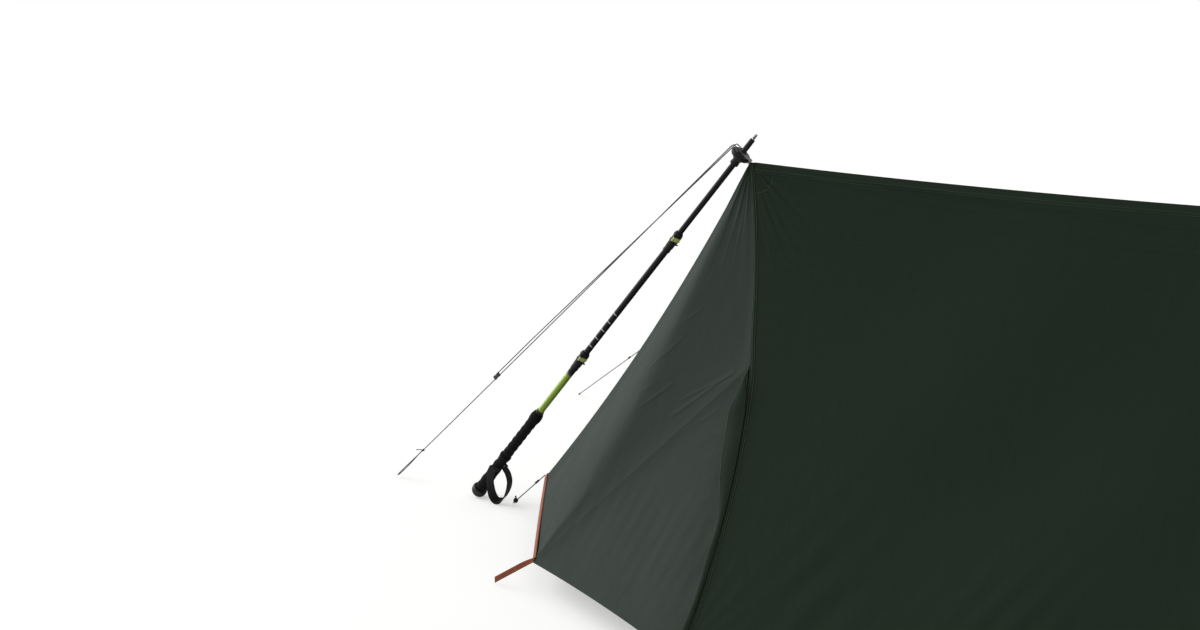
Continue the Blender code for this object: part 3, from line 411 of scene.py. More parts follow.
def stripes(tree, value, pitch, edge):
    """Lines one pitch apart: 1 where a place is further than edge from the middle of its cell, else 0."""
    cell = sums(tree, "FRACT", sums(tree, "DIVIDE", value, pitch))
    return sums(tree, "GREATER_THAN", sums(tree, "ABSOLUTE", sums(tree, "SUBTRACT", cell, 0.5)), edge)


def spaced(values):
    """Socket names, which have spaces, from Python names."""
    return {key.replace("_", " "): value for key, value in values.items()}


def group(name, outputs, **inputs):
    """An empty shader group: its tree, the sockets at both its ends, and its Math. None asks for a place."""
    tree = bpy.data.node_groups.new(name, "ShaderNodeTree")
    for title, value in spaced(inputs).items():
        kind = "NodeSocketVector" if value is None else "NodeSocketFloat"
        socket = tree.interface.new_socket(title, in_out="INPUT", socket_type=kind)
        if value is not None:
            socket.default_value = value
    for title in outputs:
        tree.interface.new_socket(title, in_out="OUTPUT", socket_type="NodeSocketFloat")
    return tree, node(tree, "NodeGroupInput").outputs, node(tree, "NodeGroupOutput"), partial(sums, tree)


# %% The weave group
THREAD_EDGE = 0.44
weave, gate, out, maths = group("plain weave", ["Height", "Grid lines"], Place=None, Thread=0.0006,
                                Grid=0.005)
axes = split(weave, gate["Place"])
waves = [maths("SINE", maths("MULTIPLY", maths("DIVIDE", axis, gate["Thread"]), math.pi)) for axis in axes]
grid_line = maths("MAXIMUM", *(stripes(weave, axis, gate["Grid"], THREAD_EDGE) for axis in axes))
raised = maths("ADD", maths("MULTIPLY", maths("MULTIPLY", *waves), 0.5), maths("MULTIPLY", grid_line, 0.6))
feed(out, {"Height": raised, "Grid lines": grid_line})

# %% The crease group
FOLD_TURNS = (0.4, 1.3, 2.3)
FOLD_SCALES = (1.0, 1.9, 4.2)
FOLD_WEIGHTS = (0.6, 0.4, 0.25)
creases, gate, out, maths = group("packing creases", ["Height"], Place=None, Scale=9.0, Sharpness=6.0)
total = 0.0
for heading, scale, weight in zip(FOLD_TURNS, FOLD_SCALES, FOLD_WEIGHTS):
    place = node(creases, "ShaderNodeMapping", {"Vector": gate["Place"], "Rotation": (0, 0, heading),
                                                "Scale": (1, 0.38, 1)})
    drift = noise(creases, place.outputs[0], maths("MULTIPLY", gate["Scale"], scale), 2.0)
    fold = maths("ABSOLUTE", maths("SUBTRACT", drift, 0.5))
    sharp = maths("SUBTRACT", 1.0, maths("MULTIPLY", fold, gate["Sharpness"]), clamp=True)
    total = maths("ADD", total, maths("MULTIPLY", sharp, weight))
feed(out, {"Height": total})

# %% The tone and grain groups
tone, gate, out, maths = group("tone", ["Factor"], Place=None, Scale=3.0, Amount=0.1)
swing = maths("MULTIPLY", maths("SUBTRACT", noise(tone, gate["Place"], gate["Scale"], 4.0), 0.5), 2.0)
feed(out, {"Factor": maths("MULTIPLY_ADD", swing, gate["Amount"], 0.5, clamp=True)})

grain, gate, out, maths = group("moulded grain", ["Height"], Place=None, Scale=900.0)
fine = noise(grain, gate["Place"], gate["Scale"], 2.0)
cells = node(grain, "ShaderNodeTexVoronoi", {"Vector": gate["Place"], "Scale": gate["Scale"]})
feed(out, {"Height": maths("ADD", fine, maths("MULTIPLY", cells.outputs[0], 0.6))})


# %% Pull lines of stretched cloth
pleats, gate, out, maths = group("pleats at an apex", ["Height"], Across=0.0, Down=0.0, Reach=0.1, Count=9.0,
                                 Patch=0.06)
away = maths("SQRT", maths("ADD", *(maths("POWER", gate[way], 2.0) for way in ("Across", "Down"))))
turn = maths("MULTIPLY", maths("ARCTAN2", gate["Across"], gate["Down"]), gate["Count"])
place = node(pleats, "ShaderNodeCombineXYZ", {0: turn, 1: maths("MULTIPLY", away, 2.5)})
fade = maths("EXPONENT", maths("DIVIDE", away, maths("MULTIPLY", gate["Reach"], -1.0)))
patch = maths("MULTIPLY", maths("LESS_THAN", away, gate["Patch"]), 0.10)
shaped = maths("MULTIPLY", noise(pleats, place.outputs[0], 1.0, 2.0), fade)
feed(out, {"Height": maths("ADD", shaped, patch)})

streaks, gate, out, maths = group("streaks along an edge", ["Height"], Across=0.0, Down=0.0, Pitch=0.016,
                                  Depth=0.3)
place = node(streaks, "ShaderNodeCombineXYZ", {0: maths("MULTIPLY", gate["Across"], 1.7),
                                               1: maths("DIVIDE", gate["Down"], gate["Pitch"])})
fade = maths("EXPONENT", maths("DIVIDE", gate["Down"], maths("MULTIPLY", gate["Depth"], -1.0)))
feed(out, {"Height": maths("MULTIPLY", noise(streaks, place.outputs[0], 1.0, 3.0), fade)})

fold_line, gate, out, maths = group("one crease", ["Height"], Across=0.0, Down=0.0, Start_across=0.0,
                                    Start_down=0.0, Heading=0.0, Length=0.1, Width=0.004)
one = maths("SUBTRACT", gate["Across"], gate["Start across"])
two = maths("SUBTRACT", gate["Down"], gate["Start down"])
cosine, sine = (maths(kind, gate["Heading"]) for kind in ("COSINE", "SINE"))
along = maths("ADD", maths("MULTIPLY", one, cosine), maths("MULTIPLY", two, sine))
aside = maths("SUBTRACT", maths("MULTIPLY", two, cosine), maths("MULTIPLY", one, sine))
share = maths("DIVIDE", along, gate["Length"], clamp=True)
taper = maths("SQRT", maths("MULTIPLY", share, maths("SUBTRACT", 1.0, share)))
steep = maths("POWER", maths("DIVIDE", aside, gate["Width"]), 2.0)
feed(out, {"Height": maths("MULTIPLY", taper, maths("EXPONENT", maths("MULTIPLY", steep, -1.0)))})


def use(tree, inner, **inputs):
    """Places a shader group in a material, with its inputs by name."""
    return feed(node(tree, "ShaderNodeGroup", node_tree=inner), spaced(inputs)).outputs


def finish_of(name, roughness, metallic=0.0, **more):
    """A new material: its tree, its Principled shader, and sockets for object places and UV places."""
    made = bpy.data.materials.new(name)
    made.use_nodes = True
    tree = made.node_tree
    shader = feed(tree.nodes["Principled BSDF"],
                  {"Roughness": roughness, "Metallic": metallic, **spaced(more)})
    coordinates = node(tree, "ShaderNodeTexCoord").outputs
    return made, tree, shader, coordinates["Object"], coordinates["UV"]


def raise_by(tree, shader, height, distance, strength=1.0, under=None):
    """Adds a bump of the given height in metres to a shader's normal."""
    bump = node(tree, "ShaderNodeBump", {"Height": height, "Distance": distance, "Strength": strength})
    if under is not None:
        feed(bump, {"Normal": under})
    feed(shader, {"Normal": bump.outputs[0]})
    return bump.outputs[0]


# %% Cloth finishes
def cloth_finish(name, dark, light, roughness=0.56, crease=0.0010, pulls=None):
    """Coated ripstop: a fine weave, a thread grid, packing creases and a little drift of tone."""
    made, tree, shader, place, uv = finish_of(name, roughness, Sheen_Weight=0.02, Sheen_Roughness=0.45,
                                              Sheen_Tint=(0.80, 0.90, 0.84, 1), Specular_IOR_Level=0.05)
    woven = use(tree, weave, Place=uv, Thread=0.0007, Grid=0.0055)
    folds = use(tree, creases, Place=uv, Scale=11.0, Sharpness=9.0)
    drift = use(tree, tone, Place=place, Scale=2.2, Amount=0.45)
    base = blend_colour(tree, drift["Factor"], (*dark, 1), (*light, 1))
    thread = blend_colour(tree, sums(tree, "MULTIPLY", woven["Grid lines"], 0.10), base,
                          (*(value * 1.6 for value in light), 1))
    rough = sums(tree, "MULTIPLY_ADD", folds["Height"], 0.08, roughness - 0.03)
    feed(shader, {"Base Color": thread, "Roughness": rough})
    under = raise_by(tree, shader, folds["Height"], crease, 0.35)
    if pulls:
        for height, deep in pulls(tree, *split(tree, uv)):
            under = raise_by(tree, shader, height, deep, under=under)
    raise_by(tree, shader, woven["Height"], 0.00008, 0.35, under=under)
    return made


def fly_pulls(tree, across, down):
    """Pleats from both apexes, and fine streaks that run beside the ridge."""
    inward = sums(tree, "SUBTRACT", RIDGE_HALF, sums(tree, "ABSOLUTE", across))
    fan = use(tree, pleats, Across=inward, Down=down, Reach=0.10, Count=7.0, Patch=APEX_PATCH)
    beside = use(tree, streaks, Across=across, Down=down, Pitch=0.013, Depth=0.26)
    return [(fan["Height"], 0.0100), (beside["Height"], 0.0030)]


# across and down of each crease's start and end, and how deep it is
CREASES = [(0.035, 0.612, 0.147, 0.454, 1.0), (0.042, 0.565, 0.145, 0.464, 0.7),
           (0.104, 0.523, 0.157, 0.469, 0.5), (0.116, 0.594, 0.151, 0.543, 0.4),
           (0.185, 0.531, 0.214, 0.471, 0.6), (-0.047, 0.615, 0.012, 0.532, 0.8),
           (-0.063, 0.582, -0.027, 0.543, 0.5), (-0.073, 0.531, -0.036, 0.471, 0.7),
           (-0.042, 0.491, -0.009, 0.427, 0.7), (-0.024, 0.397, 0.009, 0.354, 0.6)]


def end_pulls(tree, across, down):
    """Pleats from the apex, and the few sharp creases that cross the end panel."""
    fan = use(tree, pleats, Across=across, Down=down, Reach=0.080, Count=8.0, Patch=0.064)
    total = 0.0
    for start_across, start_down, end_across, end_down, deep in CREASES:
        run, fall = end_across - start_across, end_down - start_down
        line = use(tree, fold_line, Across=across, Down=down, Start_across=start_across,
                   Start_down=start_down, Heading=math.atan2(fall, run), Length=math.hypot(run, fall),
                   Width=0.0042)
        total = sums(tree, "ADD", total, sums(tree, "MULTIPLY", line["Height"], deep))
    return [(fan["Height"], 0.0120), (total, 0.0026)]


# fly_cloth and end_cloth are one fabric in lit and shaded copies: end_cloth's lighter colours are painted
# light on the ends, which face the window, and fly_cloth's darker ones are painted shade on the sides.
fly_cloth = cloth_finish("fly_cloth", (0.0166, 0.0280, 0.0184), (0.0208, 0.0345, 0.0232), pulls=fly_pulls)
end_cloth = cloth_finish("end_cloth", (0.0415, 0.0530, 0.0455), (0.0475, 0.0605, 0.0520), pulls=end_pulls)
ridge_cloth = cloth_finish("ridge_cloth", (0.0160, 0.0285, 0.0185), (0.0210, 0.0355, 0.0240), crease=0.0004)
# This is a paler copy of the dark fly cloth: its paleness is a painted highlight on the storm flap's rolled
# edge.
edge_cloth = cloth_finish("edge_cloth", (0.0560, 0.0740, 0.0600), (0.0650, 0.0850, 0.0700), crease=0.0002)
floor_cloth = cloth_finish("floor_cloth", (0.0480, 0.0540, 0.0500), (0.0580, 0.0650, 0.0610), 0.45)


# %% Webbing and cord finishes
RIB_PITCH = 0.0011
HERRINGBONE = 0.0032


def webbing_finish(name, colour, pale):
    """Woven tape: ribs across it, a herringbone along it, and a paler colour on the crowns of the ribs."""
    made, tree, shader, place, uv = finish_of(name, 0.82, Sheen_Weight=0.15, Specular_IOR_Level=0.25)
    aside, along = split(tree, uv)
    wave = sums(tree, "SINE", sums(tree, "MULTIPLY", along, math.tau / RIB_PITCH))
    zig = sums(tree, "ABSOLUTE", sums(tree, "SINE", sums(tree, "MULTIPLY", aside, math.tau / HERRINGBONE)))
    ribs = sums(tree, "MULTIPLY_ADD", zig, 0.7, sums(tree, "MULTIPLY_ADD", wave, 0.5, 0.5))
    drift = use(tree, tone, Place=place, Scale=60.0, Amount=0.5)
    base = blend_colour(tree, drift["Factor"], (*colour, 1), (*pale, 1))
    feed(shader, {"Base Color": blend_colour(tree, sums(tree, "MULTIPLY", ribs, 0.25), base, (*pale, 1))})
    raise_by(tree, shader, ribs, 0.00022, 0.6)
    return made


hem_webbing = webbing_finish("hem_webbing", (0.290, 0.082, 0.040), (0.430, 0.135, 0.070))
strap_webbing = webbing_finish("strap_webbing", (0.0055, 0.0055, 0.0060), (0.0110, 0.0110, 0.0118))
apex_webbing = webbing_finish("apex_webbing", (0.240, 0.250, 0.235), (0.420, 0.430, 0.410))


def cord_finish(name, colour, pale, plait=0.0020):
    """Braided cord: two sets of strands that wind opposite ways round it, with painted shade in the gaps
    between them.
    """
    made, tree, shader, place, uv = finish_of(name, 0.78, Sheen_Weight=0.2, Specular_IOR_Level=0.3)
    around, along = (sums(tree, "MULTIPLY", way, math.tau / plait) for way in split(tree, uv))
    one = sums(tree, "SINE", sums(tree, "ADD", along, around))
    two = sums(tree, "SINE", sums(tree, "SUBTRACT", along, around))
    strands = sums(tree, "MULTIPLY_ADD", sums(tree, "MAXIMUM", one, two), 0.5, 0.5)
    fleck = use(tree, tone, Place=place, Scale=240.0, Amount=0.9)
    base = blend_colour(tree, fleck["Factor"], (*colour, 1), (*pale, 1))
    # Darker where the strands are low: painted shade in the gaps of the braid.
    feed(shader, {"Base Color": blend_colour(tree, strands, (*(value * 0.45 for value in colour), 1), base)})
    raise_by(tree, shader, strands, 0.00025, 0.7)
    return made


guy_cord = cord_finish("guy_cord", (0.060, 0.063, 0.066), (0.120, 0.123, 0.127))
corner_cord = cord_finish("corner_cord", (0.014, 0.016, 0.015), (0.030, 0.033, 0.031))
thread = cord_finish("thread", (0.110, 0.155, 0.085), (0.190, 0.240, 0.150), plait=0.0007)
strap_thread = cord_finish("strap_thread", (0.030, 0.030, 0.031), (0.055, 0.055, 0.056), plait=0.0007)
print("cloth and cord finishes", len(bpy.data.materials))


# %% Hard finishes
def hard_finish(name, dark, light, roughness, metallic=0.0, grain_scale=700.0, grain_depth=0.00004, **more):
    """Moulded, lacquered or turned: a fine grain, small drifts of tone and a roughness that varies."""
    made, tree, shader, place, _ = finish_of(name, roughness, metallic, **more)
    drift = use(tree, tone, Place=place, Scale=45.0, Amount=0.5)
    feed(shader, {"Base Color": blend_colour(tree, drift["Factor"], (*dark, 1), (*light, 1)),
                  "Roughness": sums(tree, "MULTIPLY_ADD", drift["Factor"], 0.12, roughness - 0.06)})
    skin = use(tree, grain, Place=place, Scale=grain_scale)
    raise_by(tree, shader, skin["Height"], grain_depth, 0.5)
    return made


black_tube = hard_finish("black_tube", (0.0060, 0.0060, 0.0068), (0.0090, 0.0090, 0.0100), 0.36,
                         grain_depth=0.00001, Specular_IOR_Level=0.22)
lime_tube = hard_finish("lime_tube", (0.235, 0.375, 0.022), (0.290, 0.440, 0.030), 0.30, 0.25,
                        grain_depth=0.00001, Coat_Weight=0.4, Coat_Roughness=0.15)
FADE_PLACE = (0.4553, 0.4683)
tree, shader = lime_tube.node_tree, lime_tube.node_tree.nodes["Principled BSDF"]
lime_paint = shader.inputs["Base Color"].links[0].from_socket
long_way = split(tree, node(tree, "ShaderNodeTexCoord").outputs["UV"])[1]
faded = node(tree, "ShaderNodeMapRange", {"Value": long_way, "From Min": FADE_PLACE[0],
                                          "From Max": FADE_PLACE[1]}, interpolation_type="SMOOTHSTEP")
feed(shader, {"Base Color": blend_colour(tree, faded.outputs[0], lime_paint, (0.0100, 0.0100, 0.0110, 1))})
lime_plastic = hard_finish("lime_plastic", (0.440, 0.570, 0.130), (0.520, 0.650, 0.180), 0.30,
                           Coat_Weight=0.5, Coat_Roughness=0.12)
black_plastic = hard_finish("black_plastic", (0.0065, 0.0065, 0.0072), (0.0105, 0.0105, 0.0115), 0.45,
                            Specular_IOR_Level=0.28)
slider_plastic = hard_finish("slider_plastic", (0.040, 0.043, 0.045), (0.052, 0.055, 0.058), 0.42)
basket_plastic = hard_finish("basket_plastic", (0.0060, 0.0063, 0.0068), (0.0095, 0.0098, 0.0105), 0.50,
                             Specular_IOR_Level=0.30)
# The liner's pale grey is painted light: it stands in for light on the far inner wall of the dark dish.
rim_plastic = hard_finish("rim_plastic", (0.150, 0.155, 0.155), (0.260, 0.265, 0.265), 0.40)
black_foam = hard_finish("black_foam", (0.0055, 0.0055, 0.0058), (0.0095, 0.0095, 0.0100), 0.88,
                         grain_scale=1400.0, grain_depth=0.00016, Specular_IOR_Level=0.20)
knob_rubber = hard_finish("knob_rubber", (0.0190, 0.0200, 0.0160), (0.0300, 0.0310, 0.0250), 0.42,
                          Specular_IOR_Level=0.35)
tip_steel = hard_finish("tip_steel", (0.34, 0.34, 0.34), (0.52, 0.52, 0.52), 0.30, 1.0)
zip_metal = hard_finish("zip_metal", (0.034, 0.036, 0.038), (0.050, 0.052, 0.055), 0.40, 0.8)
mark_paint = hard_finish("mark_paint", (0.62, 0.62, 0.60), (0.74, 0.74, 0.72), 0.55)

MESH_PITCH = 0.0016
HOLE_EDGE = 0.30
insect_mesh, tree, shader, place, uv = finish_of("insect_mesh", 0.8)
knit = sums(tree, "MAXIMUM", *(stripes(tree, way, MESH_PITCH, HOLE_EDGE) for way in split(tree, uv)))
drift = use(tree, tone, Place=place, Scale=30.0, Amount=0.5)
feed(shader, {"Alpha": sums(tree, "MULTIPLY_ADD", knit, 0.75, 0.25),
              "Base Color": blend_colour(tree, drift["Factor"], (0.020, 0.022, 0.022, 1),
                                         (0.040, 0.042, 0.042, 1))})
print("finishes", len(bpy.data.materials))

# %% [markdown]
# The lines. Each end has a grey guy line that holds the pole's basket to the ground, a short dark cord
# from the beak's corner, and a thin guy from the far seam. They are taut braided cords, so each is a
# plain tube along its route, and the braid is in its finish. Knots are short cords wound on themselves.

# %% Places on a pole and on a line
STEP_UP = spot(math.sin(POLE_LEAN), 0, math.cos(POLE_LEAN))
STEP_OUT = spot(math.cos(POLE_LEAN), 0, -math.sin(POLE_LEAN))
FOOT = spot(-RIDGE_HALF - POLE_FOOT_REACH, 0, KNOB_CENTRE)
APEX = spot(-RIDGE_HALF, 0, APEX_HEIGHT)
BEAK = spot(-RIDGE_HALF - BEAK_REACH, 0, BEAK_HEIGHT)
CHEEK = spot(-RIDGE_HALF - CHEEK_REACH, -CHEEK_HALF_WIDTH, CHEEK_HEIGHT)
SIDE = spot(-RIDGE_HALF - SIDE_REACH, -SIDE_HALF_WIDTH, SIDE_HEIGHT)
GUY_DIAMETER = 0.0027
GUY_ANCHOR_REACH = 1.082
GUY_SLIDER_SHARE = 0.345
STRAND_PITCH = 0.0075
SLIDER_TRAVEL = 0.160
GUY_KNOT = 0.135
PEG_LOOP_HALF = 0.0060
CORNER_PEG_REACH = 0.678
SIDE_GUY_ANCHOR = (1.050, 0.931)
SIDE_GUY_SHARE = 0.20
TAPE_WIDTH = 0.012
TAPE_THICK = 0.0012


def on_pole(distance):
    return FOOT + STEP_UP * distance


GUY_POST = on_pole(BASKET_PLATE + BASKET_THICK + TAB_THICK + GUY_DIAMETER / 2 + GAP * 4)
GUY_RIM = GUY_POST - STEP_OUT * (BASKET_RADIUS + GUY_DIAMETER)
GUY_PEG = spot(-RIDGE_HALF - GUY_ANCHOR_REACH, 0, 0.006)
GUY_SLIDER = GUY_PEG + (GUY_RIM - GUY_PEG) * GUY_SLIDER_SHARE


def line_axes(start, end):
    ahead = unit(end - start)
    side = unit(np.cross(spot(0, 0, 1), ahead))
    return ahead, side, np.cross(ahead, side)


def knot(name, middle, ahead, radius, cord, material, turns=1.5):
    """A small overhand knot: a cord wound round itself in a fat coil."""
    _, side, up = line_axes(middle, middle + ahead)
    t = np.linspace(0, 1, 46)
    angle = math.tau * turns * t
    swell = radius * (0.55 + 0.45 * np.sin(math.pi * t))
    path = (middle + ahead * ((t - 0.5) * radius * 1.7)[:, None]
            + side * (np.cos(angle) * swell)[:, None] + up * (np.sin(angle) * swell)[:, None])
    return tube(name, path, cord, material, sides=10)


def cord_piece(end, name, route, material, slot, replaced):
    """A cord that rides on the tent, and the points that it follows at that end."""
    path = at_end(end, route)
    made = tube(f"{end}_{name}", path, GUY_DIAMETER / 2, material, sides=12)
    dress(made, "tent", slot, f"{end}_{replaced}")
    return made, path


def tie_off(slot, tied):
    """Puts the knots and tails of a taut cord on the tent's body."""
    for piece in tied:
        dress(piece, "tent", slot)


# %% The main guy lines
GUY_TAIL = ((0.003, 0.002), (0.010, 0.008), (0.021, 0.015))


def guy_route():
    """From the knot in the peg loop, up through the slider, over the basket, round the ferrule and back."""
    radius = LOWER_RADIUS + GUY_DIAMETER / 2 + GAP
    back, side = -STEP_OUT, spot(0, 1, 0)
    ahead, _, lift = line_axes(GUY_PEG, GUY_RIM)
    knot_at = GUY_PEG + ahead * GUY_KNOT
    near, wide = side * PEG_LOOP_HALF, side * radius
    lower = [knot_at - ahead * 0.004 + side * 0.0024 + lift * 0.002, GUY_PEG + ahead * 0.060 + near,
             GUY_PEG + ahead * 0.012 + near, GUY_PEG + ahead * 0.002, GUY_PEG + ahead * 0.012 - near,
             GUY_PEG + ahead * 0.060 - near, knot_at - side * 0.0010, knot_at + ahead * 0.020]
    angles = -math.pi / 2 + math.pi * np.arange(9) / 8
    ring = [GUY_POST - back * radius * math.cos(a) + wide * math.sin(a) for a in angles]
    parallel, above = GUY_SLIDER + ahead * SLIDER_TRAVEL, lift * STRAND_PITCH
    drop, edge = GUY_RIM - ahead * 0.005, GUY_RIM - back * 0.002
    upper = [GUY_SLIDER - ahead * 0.03, parallel, drop - wide, edge - wide, *ring, edge + wide, drop + wide,
             parallel + above, GUY_SLIDER + above + ahead * 0.02, GUY_SLIDER + above - ahead * 0.004]
    return np.array([*smooth_path(lower, 3), *upper]), knot_at, ahead, lift


route, knot_at, ahead, lift = guy_route()
for end in ENDS:
    cord, path = cord_piece(end, "guy_line_braid", route, guy_cord, "guy_cord", "guy_line")
    tied = knot(f"{end}_guy_knot", at_end(end, knot_at), at_end(end, ahead), GUY_DIAMETER * 0.95,
                GUY_DIAMETER * 0.48, guy_cord)
    tail = at_end(end, [knot_at - ahead * back + lift * high for back, high in GUY_TAIL])
    loose = tube(f"{end}_guy_tail", smooth_path(tail, 5), GUY_DIAMETER * 0.45, guy_cord, sides=10)
    tie_off("guy_cord", [tied, loose])

# %% The corner cords
KNOT_OFF_PEG = 0.011
INTO = {"apex": unit(spot(0.35, 0, -1)) * 0.002, "beak": unit(spot(1, 0, -0.3)) * 0.002,
        "cheek": unit(spot(0.55, 0.75, -0.2)) * 0.002, "side": unit(spot(0.35, 0.85, -0.2)) * 0.002}
corner_peg = spot(-RIDGE_HALF - CORNER_PEG_REACH, 0, 0.0045)
corner_start = (BEAK - unit(INTO["beak"]) * (GAP * 4 + TAPE_THICK + GUY_DIAMETER / 2)
                + unit(APEX - BEAK) * TAPE_WIDTH / 2)
route = corner_start + (corner_peg - corner_start) * np.linspace(0, 1, 17)[:, None]
for end in ENDS:
    cord, path = cord_piece(end, "corner_cord_braid", route, corner_cord, "corner_cord", "corner_cord")
    away = unit(path[0] - path[-1])
    place = path[-1] + away * KNOT_OFF_PEG + spot(0, 0, 0.0015)
    tied = knot(f"{end}_corner_knot", place, away, GUY_DIAMETER * 1.7, GUY_DIAMETER * 0.95, corner_cord, 2.2)
    tail = [place, place + away * 0.001 + spot(0, 0, 0.008), place - away * 0.001 + spot(0, 0, 0.014)]
    loose = tube(f"{end}_corner_tail", smooth_path(tail, 5), GUY_DIAMETER * 0.80, corner_cord, sides=10)
    tie_off("corner_cord", [tied, loose])


# %% [markdown]
# The cloth is cut so that every seam and edge hangs in a shallow arc. An arc that leaves its chord by
# a given depth is all that these curves need, and each panel is then filled in between its arcs.

# %% The tent's edges
def arc(start, end, depth, toward):
    """A circular arc from start to end that leaves its chord by depth. Takes an array of shares."""
    chord = end - start
    length = np.linalg.norm(chord)
    way = unit(toward - chord * (toward @ chord) / length ** 2)
    radius = (length ** 2 / 4 + depth ** 2) / (2 * depth)

    def curve(share):
        share = np.asarray(share, float)[..., None]
        height = np.sqrt(radius ** 2 - ((share - 0.5) * length) ** 2) - (radius - depth)
        return start + chord * share + way * height
    return curve


def straight(start, end):
    return lambda share: start + (end - start) * np.asarray(share, float)[..., None]


def stretch(curve, low, high):
    """The part of a curve from share low to share high."""
    return lambda share: curve(low + (high - low) * np.asarray(share, float))


seam_line = arc(APEX, SIDE, SEAM_SAG, spot(0.5, 1.0, 0))
beak_line = arc(APEX, BEAK, BEAK_SAG, spot(1, 0, 0))
cheek_line = arc(APEX, CHEEK, CHEEK_SAG, spot(1, 0.8, 0))
beak_hem = arc(BEAK, CHEEK, BEAK_HEM_RISE, spot(0, 0, 1))
cheek_hem = arc(CHEEK, SIDE, BEAK_HEM_RISE, spot(0, 0, 1))
ridge_line = arc(APEX, opposite(APEX), RIDGE_SAG, spot(0, 0, -1))
side_hem = arc(SIDE, opposite(SIDE), HEM_RISE, spot(0, 0, 1))
ZIP_TOP = seam_line(ZIP_TOP_SHARE)
print("zip starts at", ZIP_TOP.round(3))

# %% The side guys
guy_top = far(seam_line(SIDE_GUY_SHARE))
into = far(INTO["apex"] * (1 - SIDE_GUY_SHARE) + INTO["side"] * SIDE_GUY_SHARE)
side_start = guy_top - unit(into) * (GAP * 2 + GUY_DIAMETER * 0.8)
side_peg = spot(-RIDGE_HALF - SIDE_GUY_ANCHOR[0], SIDE_GUY_ANCHOR[1], 0.003)
route = side_start + (side_peg - side_start) * np.linspace(0, 1, 33)[:, None]
for end in ENDS:
    cord, path = cord_piece(end, "side_guy_braid", route, guy_cord, "guy_cord", "side_guy_line")
    away = unit(path[0] - path[-1])
    tied = knot(f"{end}_side_guy_knot", path[-1] + away * KNOT_OFF_PEG, away, GUY_DIAMETER * 0.8,
                GUY_DIAMETER * 0.45, guy_cord)
    tie_off("guy_cord", [tied])

# %% [markdown]
# The fly's big side panels. A panel is one cloth between the ridge, two seams and its hem. Its grid of
# points follows those four edges, and then small waves are added along the cloth's own normal: a fan of
# tight folds at each apex, long folds under the ridge, and soft slanting folds towards the hem.

# %% Filling a panel between four edges
def side_panel_points(across, down):
    """Points of the near side panel at arrays of shares across it and down it."""
    x, y = across[..., None], down[..., None]
    flat = (APEX * (1 - x) * (1 - y) + opposite(APEX) * x * (1 - y) + opposite(SIDE) * x * y
            + SIDE * (1 - x) * y)

    def leave(curve, share, flip=False):
        base = curve(0.0) + (curve(1.0) - curve(0.0)) * share[..., None]
        off = curve(share) - base
        return opposite(off) if flip else off
    return (flat + leave(ridge_line, across) * (1 - y) + leave(side_hem, across) * y
            + leave(seam_line, down) * (1 - x) + leave(seam_line, down, True) * x)


def spread(count, ease):
    """Shares from 0 to 1, closer together at both ends."""
    u = np.linspace(0, 1, count)
    return u - ease * np.sin(math.tau * u) / math.tau


PANEL_DEPTH = 1.14
CORNER_REACH = 0.81
# each fan's depth, its middle and spread from the apex, its folds, phase and drift, its sharpness and floor
SIDE_FANS = ((0.0030, 0.045, 0.10, 5.2, 0.15, 0, 3, 0.35), (0.0016, 0.11, 0.13, 8.6, 0.6, 1.5, 4, 0.3))


def fans(theta, r, table):
    """Fans of folds that run out from an apex, at angles and distances from it."""
    return sum(depth * bell(r, middle, wide) * (crest(theta * count + phase + r * drift, sharpness) - floor)
               for depth, middle, wide, count, phase, drift, sharpness, floor in table)


def side_waves(points, across, down):
    """How far the side panel's cloth stands off its plain surface, in metres."""
    near_end = np.minimum(across, 1 - across)
    a = np.minimum(points[..., 0] + RIDGE_HALF, RIDGE_HALF - points[..., 0])
    b = down * PANEL_DEPTH
    r = np.hypot(a, b)
    theta = np.arctan2(b, np.maximum(a, 1e-6))
    edge = rise(0, 0.02, near_end) * rise(0, 0.02, down) * rise(0, 0.03, 1 - down)
    fan = fans(theta, r, SIDE_FANS)
    under = theta * 180 / math.pi
    reach = rise(0.02, 0.12, a) * (1 - 0.6 * rise(0.5, 0.95, a))
    ridge = 0.0040 * bell(under, 2.4, 1.2) + 0.0016 * bell(under, 6.0, 1.1)
    ridge += 0.0010 * bell(under, 11.5, 1.5) * (1 - rise(0.25, 0.6, a))
    combed = (0.0004 * np.sin(math.tau * (b / 0.033 + 0.8 * np.sin(a * 9))) * np.exp(-a / 0.16)
              * rise(0.06, 0.2, b))
    low = rise(0.55, 0.86, down) * rise(0.04, 0.16, near_end)
    slant = a * 0.86 + b * 0.50
    folds = 0.0011 * low * np.sin(math.tau * (slant / 0.062 + 0.35 * np.sin(a * 11 + b * 5)))
    folds *= 0.55 + 0.45 * np.sin(math.tau * (a / 0.37 + 0.2))
    corner = np.hypot(points[..., 0] - np.sign(points[..., 0]) * CORNER_REACH, (1 - down) * PANEL_DEPTH)
    angle = np.arctan2((1 - down) * PANEL_DEPTH, np.maximum(CORNER_REACH - np.abs(points[..., 0]), 1e-6))
    pull = 0.0018 * np.exp(-corner / 0.14) * (crest(angle * 4.4 + 0.2) - 0.3)
    broad = (0.0045 * 16 * across * (1 - across) * down * (1 - down)
             * np.sin(math.tau * (3.1 * across + 1.3 * down)))
    return edge * (fan + ridge * reach + combed + folds + pull) + broad


SIDES = {"left": "near_side", "right": "far_side"}
across, down = np.meshgrid(spread(230, 0.55), np.linspace(0.0004, 1, 150) ** 1.15)
points = side_panel_points(across, down)
normals = normals_of(points)
side_outer = points + normals * side_waves(points, across, down)[..., None]
side_uv = np.stack([points[..., 0], down * PANEL_DEPTH], -1)
for end, side in SIDES.items():
    made = sheet(f"{side}_panel_cloth", at_end(end, side_outer), fly_cloth, uv=side_uv)
    dress(made, "tent", "fly_cloth", f"{side}_panel")

# %% [markdown]
# The end panels fan out from the apex, so their grid does too: its first row is one point at the apex,
# and each later row lies further down. The beak and the upper end panel share such a fan, and a door
# is a second fan from the top of its zip.

